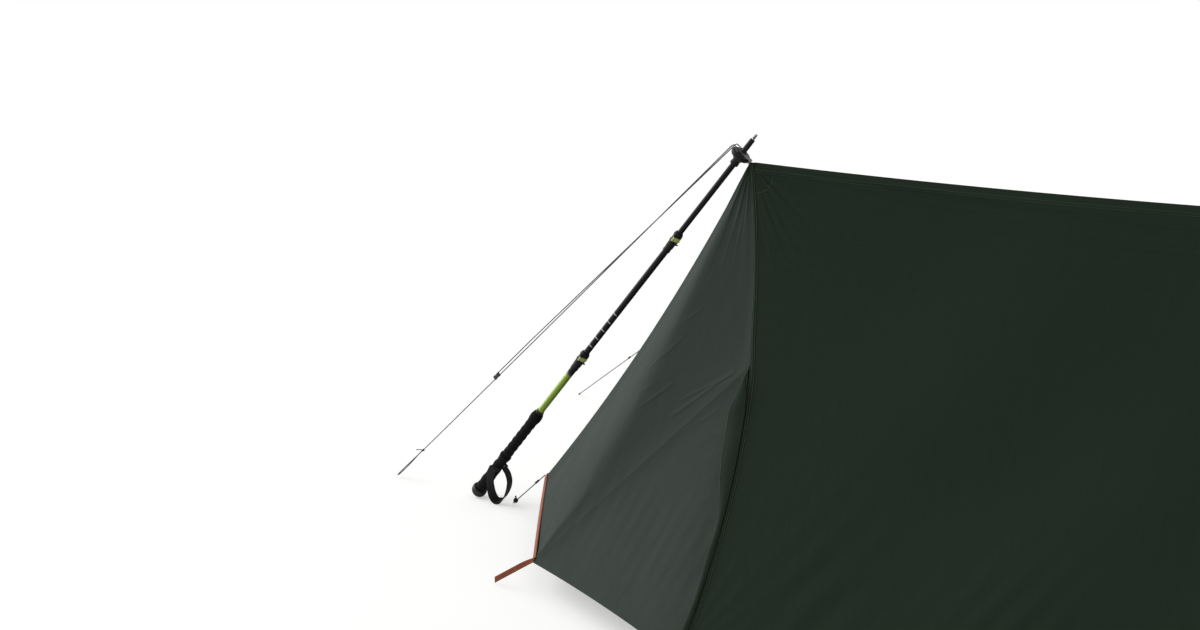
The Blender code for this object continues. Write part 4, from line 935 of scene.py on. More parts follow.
# %% Filling a panel between three edges
def three_sided(corners, curves, s, t):
    """Points of a fan: s runs from the first corner to the far edge, t across it."""
    shares = np.stack([1 - s, s * (1 - t), s * t], -1)
    points = sum(corner * shares[..., k, None] for k, corner in enumerate(corners))
    for k, curve in enumerate(curves):
        one, two = shares[..., k], shares[..., (k + 1) % 3]
        whole = np.maximum(one + two, 1e-9)
        share = two / whole
        off = curve(share) - (curve(0.0) + (curve(1.0) - curve(0.0)) * share[..., None])
        points = points + off * (whole ** 2)[..., None]
    return points


def fan_grid(corners, curves, rows, columns):
    s, t = np.meshgrid(np.linspace(0, 1, rows), np.linspace(0, 1, columns), indexing="ij")
    return three_sided(corners, curves, s, t), s, t


def backward(curve):
    return lambda share: curve(1 - np.asarray(share, float))


def flipped(curve):
    return lambda share: far(curve(share))


# %% Waves of the end cloth
END_ACROSS = unit(SIDE - CHEEK)
END_OUT = plane_normal(CHEEK, APEX, SIDE)
END_DOWN = np.cross(END_OUT, END_ACROSS)
END_DOWN = END_DOWN if END_DOWN[2] < 0 else -END_DOWN
INSIDE = (-0.7, 0, 0.2)
END_FANS = ((0.0032, 0.06, 0.085, 6.3, 0.35, 0, 3, 0.35), (0.0007, 0.16, 0.09, 9.1, 0.1, 1, 4, 0.3))


def end_places(points):
    """Distances across the end panel, towards the seam, and down it from the apex."""
    from_apex = points - APEX
    return from_apex @ END_ACROSS, from_apex @ END_DOWN


def end_waves(points):
    """How far the end panel's cloth stands off its plain surface, from where it is on the panel."""
    a, b = end_places(points)
    r = np.hypot(a, b)
    theta = np.arctan2(a, np.maximum(b, 1e-6))
    run = a * 0.62 + b * 0.785
    cross = a * 0.785 - b * 0.62
    middle = bell(b, 0.62, 0.20)
    lines = 0.0003 * middle * (crest(run / 0.047 + 0.5 * np.sin(cross * 7 + 1.0), 5) - 0.25)
    lines *= 0.5 + 0.5 * np.sin(math.tau * (cross / 0.31 + 0.1))
    ribs = 0.00025 * bell(b, 0.86, 0.11) * np.sin(math.tau * a / 0.036)
    return fans(theta, r, END_FANS) + lines + ribs


# %% The upper end panels and beaks
CREASE_SHARE = 0.24
CREASE_REACH = 0.060
HINGE_REACH = 0.045
END_ROWS, BEAK_COLUMNS, END_COLUMNS = 120, 30, 100


def rounded_rows(grid, beak_columns):
    """Averages each row over a reach that grows from the apex, which rounds the fold of stretched cloth."""
    made, count = grid.copy(), grid.shape[1]
    for row in range(1, len(grid)):
        line = grid[row]
        fade = 1 - rise(0.82, 1, row / (len(grid) - 1))
        wide = min(CREASE_SHARE * np.linalg.norm(line[beak_columns] - line[0]), CREASE_REACH) * fade + 1e-4
        longer = np.concatenate([2 * line[:1] - line[:0:-1], line, 2 * line[-1:] - line[-2::-1]])
        place = travel(longer)
        middle = place[count - 1:2 * count - 1]
        weight = np.exp(-((place[None] - middle[:, None]) / wide) ** 2 / 2) * np.gradient(place)[None]
        made[row] = weight @ longer / weight.sum(1, keepdims=True)
    return made


HINGE_WAY = unit(ZIP_TOP - CHEEK)
HINGE_SLOPE = math.tan(math.acos(plane_normal(APEX, CHEEK, ZIP_TOP) @ plane_normal(CHEEK, SIDE, ZIP_TOP)) / 2)


def hinge_dip(points):
    """The door folds on a straight line. Both cloths flatten towards it, so that closed they read as one."""
    away = points - CHEEK
    away = np.linalg.norm(away - (away @ HINGE_WAY)[..., None] * HINGE_WAY, axis=-1)
    return -HINGE_SLOPE * away * np.exp(-away / HINGE_REACH)


def end_sheet(beak_side, lower_corners, lower_curves):
    """One cloth of a beak half and the end panel beside it, as a grid that fans from the apex."""
    turn = (lambda v: v) if beak_side > 0 else far
    line = (lambda c: c) if beak_side > 0 else flipped
    beak_curves = [beak_line, line(beak_hem), backward(line(cheek_line))]
    beak, _, _ = fan_grid([APEX, BEAK, turn(CHEEK)], beak_curves, END_ROWS, BEAK_COLUMNS)
    lower, _, _ = fan_grid(lower_corners, lower_curves, END_ROWS, END_COLUMNS)
    grid = rounded_rows(np.concatenate([beak, lower[:, 1:]], axis=1), BEAK_COLUMNS - 1)
    near = turn(grid)
    row = np.linspace(0, 1, grid.shape[1])
    edges = (rise(0, 0.06, row) * rise(0, 0.04, 1 - row))[None, :]
    wave = end_waves(near) * edges
    if beak_side > 0:
        return grid, wave + hinge_dip(near) * edges, near
    return grid, wave * rise(0, 0.05, 1 - np.linspace(0, 1, END_ROWS))[:, None], near


def make_end(end, name, grid, wave, uv_from, flat, node_name, body="tent"):
    normals = normals_of(grid, INSIDE)
    outer = grid + normals * wave[..., None]
    made = sheet(f"{end}_{name}", at_end(end, outer), end_cloth, uv=np.stack(end_places(uv_from), -1),
                 fan=True, normals=at_end(end, normals))
    dress(made, body, "end_cloth", f"{end}_{node_name}")
    return outer, normals


upper = stretch(seam_line, 0, ZIP_TOP_SHARE)
door_side = end_sheet(1, [APEX, CHEEK, ZIP_TOP], [cheek_line, straight(CHEEK, ZIP_TOP), backward(upper)])
plain_side = end_sheet(-1, [APEX, far(CHEEK), far(SIDE)],
                       [flipped(cheek_line), flipped(cheek_hem), backward(flipped(seam_line))])
patch_lines = {}
for end in ENDS:
    patch_lines[end] = [make_end(end, f"end_cloth_{side}", *cloth, (wide, 1.10), f"end_panel_{side}")
                        for side, cloth, wide in (("door_side", door_side, 0.62),
                                                  ("plain_side", plain_side, 0.80))]

# %% The doors
DOOR_FOLD = 0.002
DOOR_TRIM = 0.004
DOOR_ROWS = 130
zip_edge = stretch(seam_line, ZIP_TOP_SHARE, 1)
trim = unit(CHEEK - ZIP_TOP) * DOOR_TRIM
trimmed = backward(lambda share: zip_edge(share) + trim * (1 - share)[..., None])
door_curves = [straight(ZIP_TOP + trim, CHEEK), cheek_hem, trimmed]
grid, s, t = fan_grid([ZIP_TOP + trim, CHEEK, SIDE], door_curves, DOOR_ROWS, DOOR_ROWS)
a, b, c = 1 - s, s * (1 - t), s * t
bulge = DOOR_FOLD * 16 * a * c * (1 - a) * np.minimum(1, 12 * b) * np.sin(math.pi * np.minimum(1, 3 * b))
sides = rise(0, 0.04, 1 - t) * rise(0, 0.05, 1 - s)
wave = (end_waves(grid) + hinge_dip(grid) * rise(0, 0.06, s)) * sides + bulge
for end in ENDS:
    make_end(end, "door_cloth", grid, wave, grid, (0.55, 0.75), "door_panel", f"{end}_door")

# %% [markdown]
# The seams. Real fly seams are felled: the two cloths are folded into each other and sewn with two rows
# of stitches, which leaves a raised band with two sharp edges. The band is a strip with a grooved
# section that follows the seam, and Geometry Nodes lay the stitches along it.

# %% Stitches with Geometry Nodes
STITCH_INPUTS = {"Line": "Geometry", "Pitch": "Float", "Length": "Float", "Thickness": "Float",
                 "Finish": "Material"}
stitching = bpy.data.node_groups.new("stitches", "GeometryNodeTree")
for title, kind in STITCH_INPUTS.items():
    stitching.interface.new_socket(title, in_out="INPUT", socket_type=f"NodeSocket{kind}")
stitching.interface.new_socket("Stitches", in_out="OUTPUT", socket_type="NodeSocketGeometry")
gate, maths = node(stitching, "NodeGroupInput").outputs, partial(sums, stitching)
curve = node(stitching, "GeometryNodeMeshToCurve", {"Mesh": gate["Line"]})
along = node(stitching, "GeometryNodeCurveToPoints", {"Curve": curve.outputs[0], "Length": gate["Pitch"]},
             mode="LENGTH").outputs
aimed = node(stitching, "FunctionNodeAlignRotationToVector", {"Vector": along["Tangent"]}, axis="Z")
rod = node(stitching, "GeometryNodeMeshCylinder",
           {"Vertices": 6, "Side Segments": 3, "Radius": gate["Thickness"], "Depth": gate["Length"]})
place = node(stitching, "ShaderNodeSeparateXYZ",
             {0: node(stitching, "GeometryNodeInputPosition").outputs[0]}).outputs
outward = maths("ABSOLUTE", maths("DIVIDE", place[2], maths("MULTIPLY", gate["Length"], 0.5)))
shrink = maths("SUBTRACT", 1.0, maths("MULTIPLY", outward, 0.6))
slim = node(stitching, "ShaderNodeCombineXYZ", {0: maths("MULTIPLY", place[0], shrink),
                                                1: maths("MULTIPLY", place[1], shrink), 2: place[2]})
rounded = node(stitching, "GeometryNodeSetPosition",
               {"Geometry": rod.outputs[0], "Position": slim.outputs[0]})
each = node(stitching, "GeometryNodeInstanceOnPoints",
            {"Points": along["Points"], "Instance": rounded.outputs[0], "Rotation": aimed.outputs[0]})
real = node(stitching, "GeometryNodeRealizeInstances", {0: each.outputs[0]})
dyed = node(stitching, "GeometryNodeSetMaterial", {"Geometry": real.outputs[0], "Material": gate["Finish"]})
node(stitching, "NodeGroupOutput", {0: dyed.outputs[0]})


def run_nodes(name, lines, material, **values):
    """Runs the stitching nodes on some lines of points and keeps the result as a plain mesh."""
    points, edges = [], []
    for line in lines:
        first = len(points)
        points += np.asarray(line).tolist()
        edges += [(k, k + 1) for k in range(first, len(points) - 1)]
    source = bpy.data.meshes.new(name + "_line")
    source.from_pydata(points, edges, [])
    holder = bpy.data.objects.new(name + "_line", source)
    bpy.context.scene.collection.objects.link(holder)
    step = holder.modifiers.new("nodes", "NODES")
    step.node_group = stitching
    sockets = {item.name: item.identifier for item in stitching.interface.items_tree
               if item.in_out == "INPUT"}
    step[sockets["Finish"]] = material
    for key, value in values.items():
        step[sockets[key]] = value
    graph = bpy.context.evaluated_depsgraph_get()
    mesh = bpy.data.meshes.new_from_object(holder.evaluated_get(graph))
    holder.modifiers.remove(step)
    bpy.data.objects.remove(holder)
    mesh.name = name
    return settle(name, mesh, material)


def sew(name, lines, body, slot, pitch=0.0042, length=0.0030, thickness=0.00028):
    made = run_nodes(name, lines, thread, Pitch=pitch, Length=length, Thickness=thickness)
    dress(made, body, slot)
    print(made.name, "faces", len(made.data.polygons))


# %% Bands that are sewn over a line
SEAM_HALF = 0.0062
SEAM_RAISE = 0.0016
SEAM_THICK = 0.0006
GROOVE = 0.62


def band(name, centre, one, two, out, material):
    """A raised strip along a line. one and two are unit directions across each of its halves."""
    share = np.linspace(-1, 1, 13)
    side = np.where(share[None, :, None] < 0, one[:, None], two[:, None])
    lift = SEAM_RAISE * (1 - np.abs(share) ** 6) * (1 - 0.45 * bell(np.abs(share), GROOVE, 0.10))
    outer = (centre[:, None] + side * (np.abs(share) * SEAM_HALF)[None, :, None]
             + out[:, None] * lift[None, :, None])
    normals = np.broadcast_to(out[:, None], outer.shape)
    return sheet(name, outer, material, SEAM_THICK, normals=normals), outer


def seam_frame(shares, turn=False):
    """The seam's points and the directions across each panel and out of the tent along it."""
    points = seam_line(shares)
    along = unit(np.gradient(points, axis=0))
    probe = side_panel_points(np.full_like(shares, 0.012), np.clip(shares, 0.001, 1))
    main = square_to(probe - points, along)
    end_way = unit(-END_ACROSS - along * (along @ -END_ACROSS)[:, None])
    out = -(main + end_way)
    out = np.where((np.linalg.norm(out, axis=1) > 0.05)[:, None], out, spot(-0.5, -0.8, 0.3))
    frame_of = (points, main, end_way, square_to(out, along))
    return tuple(far(part) for part in frame_of) if turn else frame_of


shares = np.linspace(0.004, 0.999, 260)
SEAM_LINES = (1, 6, 11)
for end in ENDS:
    for side, turn in (("door_side", False), ("plain_side", True)):
        points, main, across_end, out = seam_frame(shares, turn)
        over = rise(0.34, 0.46, shares) * (not turn)
        centre = points + main * (over * (SEAM_HALF + 0.0012))[:, None]
        two = unit(across_end * (1 - over)[:, None] - main * over[:, None])
        placed = (at_end(end, part) for part in (centre, main, two, out))
        made, outer = band(f"{end}_seam_{side}", *placed, ridge_cloth)
        dress(made, "tent", "ridge_cloth")
        lines = [outer[:, k] + at_end(end, out) * 0.0001 for k in SEAM_LINES]
        sew(f"{end}_seam_stitches_{side}", lines, "tent", "ridge_cloth", length=0.0038, thickness=0.00042)

# %% The ridge
RIDGE_SEAM_HALF = 0.0245
RIDGE_LINES = (1, 4, 20, 23)
half_way = np.linspace(0, 1, 13)
across, down = np.meshgrid(np.linspace(0.006, 0.994, 240), half_way * RIDGE_SEAM_HALF / PANEL_DEPTH,
                           indexing="ij")
points = side_panel_points(across, down)
lift = side_waves(points, across, down) + 0.0018 * (1 - half_way ** 6)
near_half = points + normals_of(points) * lift[..., None]
near_half[:, 0] += spot(0, 0, 0.0006)
outer = np.concatenate([at_end("right", near_half)[::-1, :0:-1], near_half], axis=1)
made = sheet("ridge_seam", outer, ridge_cloth, SEAM_THICK)
dress(made, "tent", "ridge_cloth", "ridge_band")
sew("ridge_stitches", [outer[:, k] + spot(0, 0, 0.0003) for k in RIDGE_LINES], "tent", "ridge_cloth")

# %% Stitches round the apex patches
patch = np.linspace(0, 1, 40)
across_line = APEX_PATCH * np.sin(patch * math.pi / 2) / (2 * RIDGE_HALF) + 0.0035
down_line = APEX_PATCH * np.cos(patch * math.pi / 2) / PANEL_DEPTH + 0.022
places = side_panel_points(across_line, down_line)
step_across = side_panel_points(across_line + 0.001, down_line) - places
step_down = side_panel_points(across_line, down_line + 0.001) - places
out = unit(np.cross(step_across, step_down))
out = out * np.sign(out[:1, 2:])
places = places + out * (side_waves(places, across_line, down_line) + 0.0006)[:, None]
for end in ENDS:
    rows = [at_end(end, outer[7] + normals[7] * 0.0006) for outer, normals in patch_lines[end]]
    sew(f"{end}_apex_patch_stitches", [*rows, at_end(end, places), at_end(end, far(places))],
        "tent", "ridge_cloth", length=0.0037, thickness=0.00045)

# %% The storm flaps over the zips
FLAP_WIDE = 0.038
FLAP_TURN = 0.72
flap_shares = np.linspace(ZIP_TOP_SHARE + 0.008, 0.998, 150)
points, main, across_end, out = seam_frame(flap_shares)
wide = 0.0015 + FLAP_WIDE * rise(0.415, 0.53, flap_shares) * (1 - 0.72 * rise(0.58, 0.76, flap_shares))
v = np.linspace(0, 1, 16)
bend = FLAP_TURN * v[None, :, None] ** 1.5
flow = unit(-main[:, None] * (1 - bend) + across_end[:, None] * bend)
steps = flow * (wide[:, None] / 15)[..., None]
stand = 0.0030 + 0.0064 * rise(0.430, 0.450, flap_shares) - 0.0034 * rise(0.485, 0.540, flap_shares)
start = points + out * stand[:, None] + main * (0.0050 * rise(0.44, 0.49, flap_shares))[:, None]
ripple = 0.0012 * np.sin(flap_shares * 41)[:, None] * v[None, :] ** 2 * rise(0.45, 0.6, flap_shares)[:, None]
grid = start[:, None] + np.cumsum(steps, axis=1) - steps[:, :1]
grid += out[:, None] * (0.0018 * np.sin(math.pi * v)[None, :] + ripple)[..., None]
flap_normals = normals_of(grid, INSIDE)
edge = grid[:, -1] - flow[:, -1] * 0.0006
for end in ENDS:
    made = sheet(f"{end}_storm_flap", at_end(end, grid), fly_cloth, 0.0008, normals=at_end(end, flap_normals))
    dress(made, f"{end}_door", "fly_cloth")
    # The flap's rolled edge is a thin tube whose pale finish is a painted highlight along it.
    rim = tube(f"{end}_flap_hem", at_end(end, edge), 0.0011, edge_cloth, sides=10)
    dress(rim, f"{end}_door", "ridge_cloth")

# %% The zips
TEETH_APART = 0.0009
points, main, across_end, out = seam_frame(np.linspace(ZIP_TOP_SHARE + 0.035, 0.995, 200))
for end in ENDS:
    for row, shift in (("outer", TEETH_APART), ("inner", -TEETH_APART)):
        line = points + across_end * 0.0022 + out * 0.0006 + across_end * shift
        coil = run_nodes(f"{end}_zip_coil_{row}", [at_end(end, line)], zip_metal, Pitch=0.0018, Length=0.0012,
                         Thickness=0.0009)
        dress(coil, f"{end}_door", "zip_metal")

# %% [markdown]
# Rust webbing binds the hems. It is folded over the cloth's edge, and it runs on from each corner as a
# tail that reaches the ground, where a peg would hold it.

# %% Hem tapes
HEM_WIDE = 0.0155
TAIL_LENGTH = 0.110
TAIL_LIFT = 0.0020
HEM_LIFT = 0.0006


def tape(name, low, up, out, material):
    """Webbing from its lower edge, the direction up it and the direction out of it, with softened edges."""
    t = spot(0.0, 0.04, 0.12, 0.5, 0.88, 0.96, 1.0)
    deep = spot(0.35, 0.8, 1.0, 1.0, 1.0, 0.8, 0.35)
    outer = (low[:, None] + up[:, None] * (t * HEM_WIDE)[None, :, None]
             + out[:, None] * (HEM_LIFT + deep * TAPE_THICK)[None, :, None])
    normals = np.broadcast_to(out[:, None], outer.shape)
    return sheet(name, outer, material, TAPE_THICK * 0.9, normals=normals), outer


def tail_frames(corner, up, into, heading, facing):
    """The tape's bend at a corner and its run down to the ground."""
    flat = unit(heading * spot(1, 1, 0))
    face = spot(-flat[1], flat[0], 0)
    face = face if face @ facing > 0 else -face
    reach = math.sqrt(TAIL_LENGTH ** 2 - corner[2] ** 2)
    t = np.linspace(0, 1, 14)[:, None]
    low = corner + flat * reach * t - spot(0, 0, 1) * (corner[2] - TAIL_LIFT) * t
    bend = rise(0, 0.35, t)
    ups = unit(unit(up) * (1 - bend) + spot(0, 0, 1) * bend)
    outs = unit(-unit(into) * (1 - bend) + face * bend)
    return low, ups, outs


t = np.linspace(0, 0.985, 60)
low = beak_hem(t)
near = [low, unit(APEX - low), unit(-(INTO["beak"] * (1 - t[:, None]) + INTO["cheek"] * t[:, None]))]
last = tail_frames(CHEEK, APEX - CHEEK, INTO["cheek"], CHEEK - ZIP_TOP, spot(0, 1, 0))
near = [np.concatenate([one, two]) for one, two in zip(near, last)]
both = [np.concatenate([far(line[1:])[::-1], line]) for line in near]
for end in ENDS:
    made, outer = tape(f"{end}_end_hem_webbing", *(at_end(end, line) for line in both), hem_webbing)
    dress(made, "tent", "hem_webbing", f"{end}_end_hem_tape")
    sew(f"{end}_end_hem_stitches", [outer[:, 4] + at_end(end, both[2]) * 0.0001], "tent", "hem_webbing")

across = np.linspace(0.02, 0.98, 150)
hem = side_panel_points(across, np.ones_like(across))
above = side_panel_points(across, np.full_like(across, 0.97))
weights = across[:, None]
hem_out = -unit(INTO["side"] * (1 - weights) + opposite(INTO["side"]) * weights)
left = tail_frames(SIDE, APEX - SIDE, INTO["side"], spot(-0.35, -1, 0), spot(1, 0, 0))
middle_part = (hem, unit(above - hem), hem_out)
low, up, out = (np.concatenate([tail[::-1], part, opposite(tail)]) for tail, part in zip(left, middle_part))
for end, side in SIDES.items():
    made, outer = tape(f"{side}_hem_webbing", *(at_end(end, part) for part in (low, up, out)), hem_webbing)
    dress(made, "tent", "hem_webbing", f"{side}_hem_tape")
    sew(f"{side}_hem_stitches", [outer[:, 4] + at_end(end, out) * 0.0001], "tent", "hem_webbing")

# %% [markdown]
# Inside the fly are a bathtub floor, whose walls rise to the side panels, and a fine mesh wall at each
# end of the sleeping room. They hardly show from outside, so they are plain closed sheets.

# %% The floor tray
def inside_of(points):
    """Points just inside the near side panel, clear of its cloth."""
    return points + unit(INTO["side"]) * 0.002 + spot(0, 1, 0) * GAP * 2


rim_across = np.linspace(1 / 20, 19 / 20, 72)
near_rim = inside_of(side_panel_points(rim_across, np.full_like(rim_across, 0.9))) - spot(0, 0, GAP * 2)
rim = np.concatenate([near_rim, at_end("right", near_rim)])
base = rim * spot(1, 1, 0)
rows = [base * s + spot(0, 0, 0.0016 + 0.0012 * math.sin(s * 9) ** 2 * (1 - s))
        for s in np.linspace(0, 0.97, 36)]
rows += [base * 0.985 + spot(0, 0, 0.0018), base * 0.995 + spot(0, 0, 0.004)]
rows += [base * 0.997 * (1 - h) + rim * 0.997 * h * spot(1, 1, 0) + rim * spot(0, 0, h)
         for h in np.linspace(0.06, 1, 12)]
rows = np.array(rows)
rows = np.concatenate([rows, rows[:, :1]], axis=1)
columns = rows.shape[1]
count = rows.shape[0] * columns
normal = np.zeros_like(rows)
normal[:38] = spot(0, 0, -1)
normal[38:] = unit(rows[38:] * spot(1, 1, 0))
inner = rows - normal * 0.0006
faces = grid_faces(rows.shape[0], columns)
faces += [[k + count for k in face[::-1]] for face in faces]
last = (rows.shape[0] - 1) * columns
faces += [[last + k + 1, last + k, last + k + count, last + k + 1 + count] for k in range(columns - 1)]
uvs = np.tile(np.stack([rows[..., 0], rows[..., 1]], -1).reshape(-1, 2), (2, 1))
points = np.concatenate([rows.reshape(-1, 3), inner.reshape(-1, 3)])
tray = welded(mesh_from("floor_tray_cloth", points, faces, uvs), 1e-5)
tray = settle("floor_tray_cloth", tray, floor_cloth)
dress(tray, "tent", "floor_cloth", "floor_tray")

# %% The mesh walls
level = np.linspace(0.1, 0.9, 40)
near = inside_of(side_panel_points(np.full_like(level, 1 / 20), level))
other = at_end("right", inside_of(side_panel_points(np.full_like(level, 19 / 20), level)))
v = np.linspace(0, 1, 40)
wall = near[:, None] * (1 - v)[None, :, None] + other[:, None] * v[None, :, None]
belly = np.sin(math.pi * v)[None, :] * np.sin(math.pi * (level - 0.1) / 0.8)[:, None]
wall = wall + spot(0.006, 0, 0) * belly[..., None]
for end in ENDS:
    made = sheet(f"{end}_mesh_wall_net", at_end(end, wall), insect_mesh, 0.0004)
    dress(made, "tent", "insect_mesh", f"{end}_mesh_wall")

# %% [markdown]
# The trekking pole stands upside down and leans in over the porch. Its tubes, clamps, grip and basket
# are all turned shapes, so one helper spins a section of (radius, height) points round the pole's axis.
# The height is measured up the pole from the middle of the knob, which rests on the ground.

# %% Turned shapes on the pole
def on_axes(points):
    """Points in the pole's own axes, X towards the tent and Z up the pole, put in the tent's place."""
    points = np.asarray(points, float)
    return FOOT + points[..., :1] * STEP_OUT + points[..., 1:2] * spot(0, 1, 0) + points[..., 2:] * STEP_UP


def softened(profile, bevel):
    """A section whose corners are rounded off by up to a given reach."""
    profile = np.asarray(profile, float)
    made = [profile[:1]]
    for before, corner, after in zip(profile[:-2], profile[1:-1], profile[2:]):
        one, two = before - corner, after - corner
        reach = min(bevel, 0.45 * np.linalg.norm(one), 0.45 * np.linalg.norm(two))
        start, end = corner + unit(one) * reach, corner + unit(two) * reach
        t = np.linspace(0, 1, 4)[:, None]
        made.append(start * (1 - t) ** 2 + corner * 2 * t * (1 - t) + end * t ** 2)
    return np.concatenate([*made, profile[-1:]])


def turned(name, profile, material, sides=56, closed=False, swell=None, sharp=35):
    """Spins a section round the pole. closed joins its ends, as on a tube; swell moves radii by angle."""
    profile = np.asarray(profile, float)
    if closed:
        profile = np.concatenate([profile, profile[:1]])
    angle = np.linspace(0, math.tau, sides + 1)
    radius, height = np.meshgrid(profile[:, 0], angle, indexing="ij")[0], profile[:, 1:] + 0 * angle
    if swell is not None:
        radius = radius + swell(radius, height, angle[None, :])
    points = np.stack([radius * np.cos(angle), radius * np.sin(angle), height], -1)
    uvs = np.stack(np.broadcast_arrays(angle * profile[:, 0].max(), travel(profile)[:, None]), -1)
    faces = grid_faces(len(profile), sides + 1)
    mesh = mesh_from(name, on_axes(points).reshape(-1, 3), faces, uvs.reshape(-1, 2))
    return settle(name, welded(mesh), material, sharp)


def both_ends(base, make, body, slot, replaces=None):
    """Makes a piece at the left end and its half-turned twin, and puts both on their body. slot is not used.
    """
    for end, side in ENDS.items():
        piece = make(f"{end}_{base}")
        if side < 0:
            piece.data.transform(Matrix.Rotation(math.pi, 4, "Z"))
        dress(piece, body.format(end), slot, *([f"{end}_{replaces}"] if replaces else []))
    print(base, "faces", len(piece.data.polygons))


# %% Tubes
TUBE_WALL = 0.0006
LOCK_TWO = 0.503
LOCK_ONE = 0.930
SLEEVE_LENGTH = 0.026
HUB_START = BASKET_PLATE - 0.032
LOWER_END = HUB_START - 0.001


def tube_section(radius, low, high):
    lip, inner = 0.0004, radius - TUBE_WALL
    wall = [(radius, z) for z in np.linspace(low + 0.01, high - 0.01, 12)]
    return [(radius - lip, low), (radius, low + lip), *wall, (radius, high - lip), (radius - lip, high),
            (inner, high - lip), (inner, low + lip)]


TUBE_FINISHES = {"black_tube": black_tube, "lime_tube": lime_tube}
# name, radius, low end, high end, slot and body
TUBES = [("lower_tube", LOWER_RADIUS, 0.880, LOWER_END, "black_tube", "tent"),
         ("middle_tube", MIDDLE_RADIUS, 0.440, LOCK_ONE + SLEEVE_LENGTH, "black_tube", "{}_pole_middle"),
         ("upper_tube", UPPER_RADIUS, 0.020, LOCK_TWO + SLEEVE_LENGTH, "lime_tube", "{}_pole_upper")]
for base, radius, low, high, slot, body in TUBES:
    section, material = tube_section(radius, low, high), TUBE_FINISHES[slot]
    both_ends(f"pole_{base}_wall", lambda name: turned(name, section, material, closed=True), body,
              slot, f"pole_{base}")

# %% Painted bands and graduation marks
BAND_LOW = 0.4885
BAND_HIGH = LOCK_TWO + 0.004
painted = [(UPPER_RADIUS + 0.00003, BAND_LOW), (UPPER_RADIUS + 0.00018, BAND_LOW + 0.0004),
           (UPPER_RADIUS + 0.00018, BAND_HIGH), (UPPER_RADIUS + 0.00003, BAND_HIGH)]
both_ends("pole_upper_tube_black_end", lambda name: turned(name, painted, black_tube, closed=True),
          "{}_pole_upper", "black_tube")

MARK_HEIGHTS = [0.5905 + 0.029 * k for k in range(5)]
MARK_LONG = 0.0022
MARK_TURN = math.radians(205)
MARK_ARC = math.radians(105)


def marks(name):
    """Short painted rings part of the way round the middle tube."""
    points, faces = [], []
    angle = np.linspace(MARK_TURN, MARK_TURN + MARK_ARC, 15)
    for low in MARK_HEIGHTS:
        start = len(points)
        ring = [(MIDDLE_RADIUS + lift, low + step) for lift, step in (
            (-0.0001, 0), (0.00007, 0), (0.00007, MARK_LONG), (-0.0001, MARK_LONG))]
        points += [(r * math.cos(a), r * math.sin(a), z) for a in angle for r, z in ring]
        faces += grid_faces(len(angle), 4, start, across=True)
        last = start + 4 * (len(angle) - 1)
        faces += [[start, start + 1, start + 2, start + 3], [last + 3, last + 2, last + 1, last]]
    return settle(name, welded(mesh_from(name, on_axes(points), faces)), mark_paint)


both_ends("pole_marks", marks, "{}_pole_middle", "black_tube")

# %% [markdown]
# The lever clamps. A black sleeve is fixed on the wider tube and ends in a rounded head. A lime lever
# wraps its waist, and swings out on a pin between two small ears to free the thinner tube.

# %% Clamp bodies
HEAD_LENGTH = 0.030
LEVER_HEIGHT = 0.013
LEVER_ARC = math.radians(150)
LEVER_THICK = 0.0020
EAR_HEIGHT = 0.0035
EAR_RADIUS = 0.0037
BARREL_RADIUS = 0.0030
PIVOT_REACH = 0.0055 + GAP
BAND_RISE = 0.002
HEAD_RISE = 0.005
PIN_RADIUS = 0.0012


def clamp_sizes(outer, start):
    seat = outer + 0.0024
    middle = start + SLEEVE_LENGTH + HEAD_LENGTH / 2 + BAND_RISE
    return seat, middle, outer + PIVOT_REACH


def pivot_part(section, pivot, count, along=False):
    """A small turned part on the lever's pivot beside the pole, as a mesh."""
    angle = np.linspace(0, math.tau, count)
    points = [(r * math.cos(a), -pivot + r * math.sin(a), z) for r, z in section for a in angle]
    return welded(mesh_from("pivot", on_axes(points), grid_faces(len(section), count, along=along)))


def clamp(name, start, outer, inner):
    sleeve, passage = outer + GAP, inner + GAP
    seat, middle, pivot = clamp_sizes(outer, start)
    half, head = LEVER_HEIGHT / 2, outer + 0.0036
    top, tube_end = start + SLEEVE_LENGTH + HEAD_LENGTH + HEAD_RISE, start + SLEEVE_LENGTH
    outline = [(sleeve, start), (sleeve + 0.0012, start), (sleeve + 0.0014, start + 0.004),
               (sleeve + 0.0010, start + 0.0052), (sleeve + 0.0010, start + 0.0120),
               (sleeve + 0.0018, start + 0.0138), (sleeve + 0.0018, tube_end - 0.008),
               (seat + 0.0002, middle - half - EAR_HEIGHT - 0.002), (head, middle - half - EAR_HEIGHT),
               (head, middle - half - GAP), (seat, middle - half - GAP), (seat, middle + half + GAP),
               (head, middle + half + GAP), (head + 0.0004, middle + half + EAR_HEIGHT * 0.8),
               (head - 0.0002, top - 0.0052), (head - 0.0018, top - 0.0018), (passage + 0.0012, top)]
    inside = [(passage, top), (passage, tube_end + GAP), (sleeve, tube_end + GAP)]
    body = turned(name, [*softened(outline, 0.0009), *inside], black_plastic, closed=True)
    low, high, parts = middle - half, middle + half, []
    for radius, bottom, height in ((EAR_RADIUS, low - EAR_HEIGHT, low - GAP),
                                   (EAR_RADIUS, high + GAP, high + EAR_HEIGHT),
                                   (PIN_RADIUS, low - EAR_HEIGHT - 0.0006, high + EAR_HEIGHT + 0.0006)):
        section = softened([(0.0, bottom), (radius, bottom), (radius, height), (0.0, height)], 0.0005)
        parts.append(pivot_part(section, pivot, 25))
    shade(gather(body.data, parts), 35)
    return body


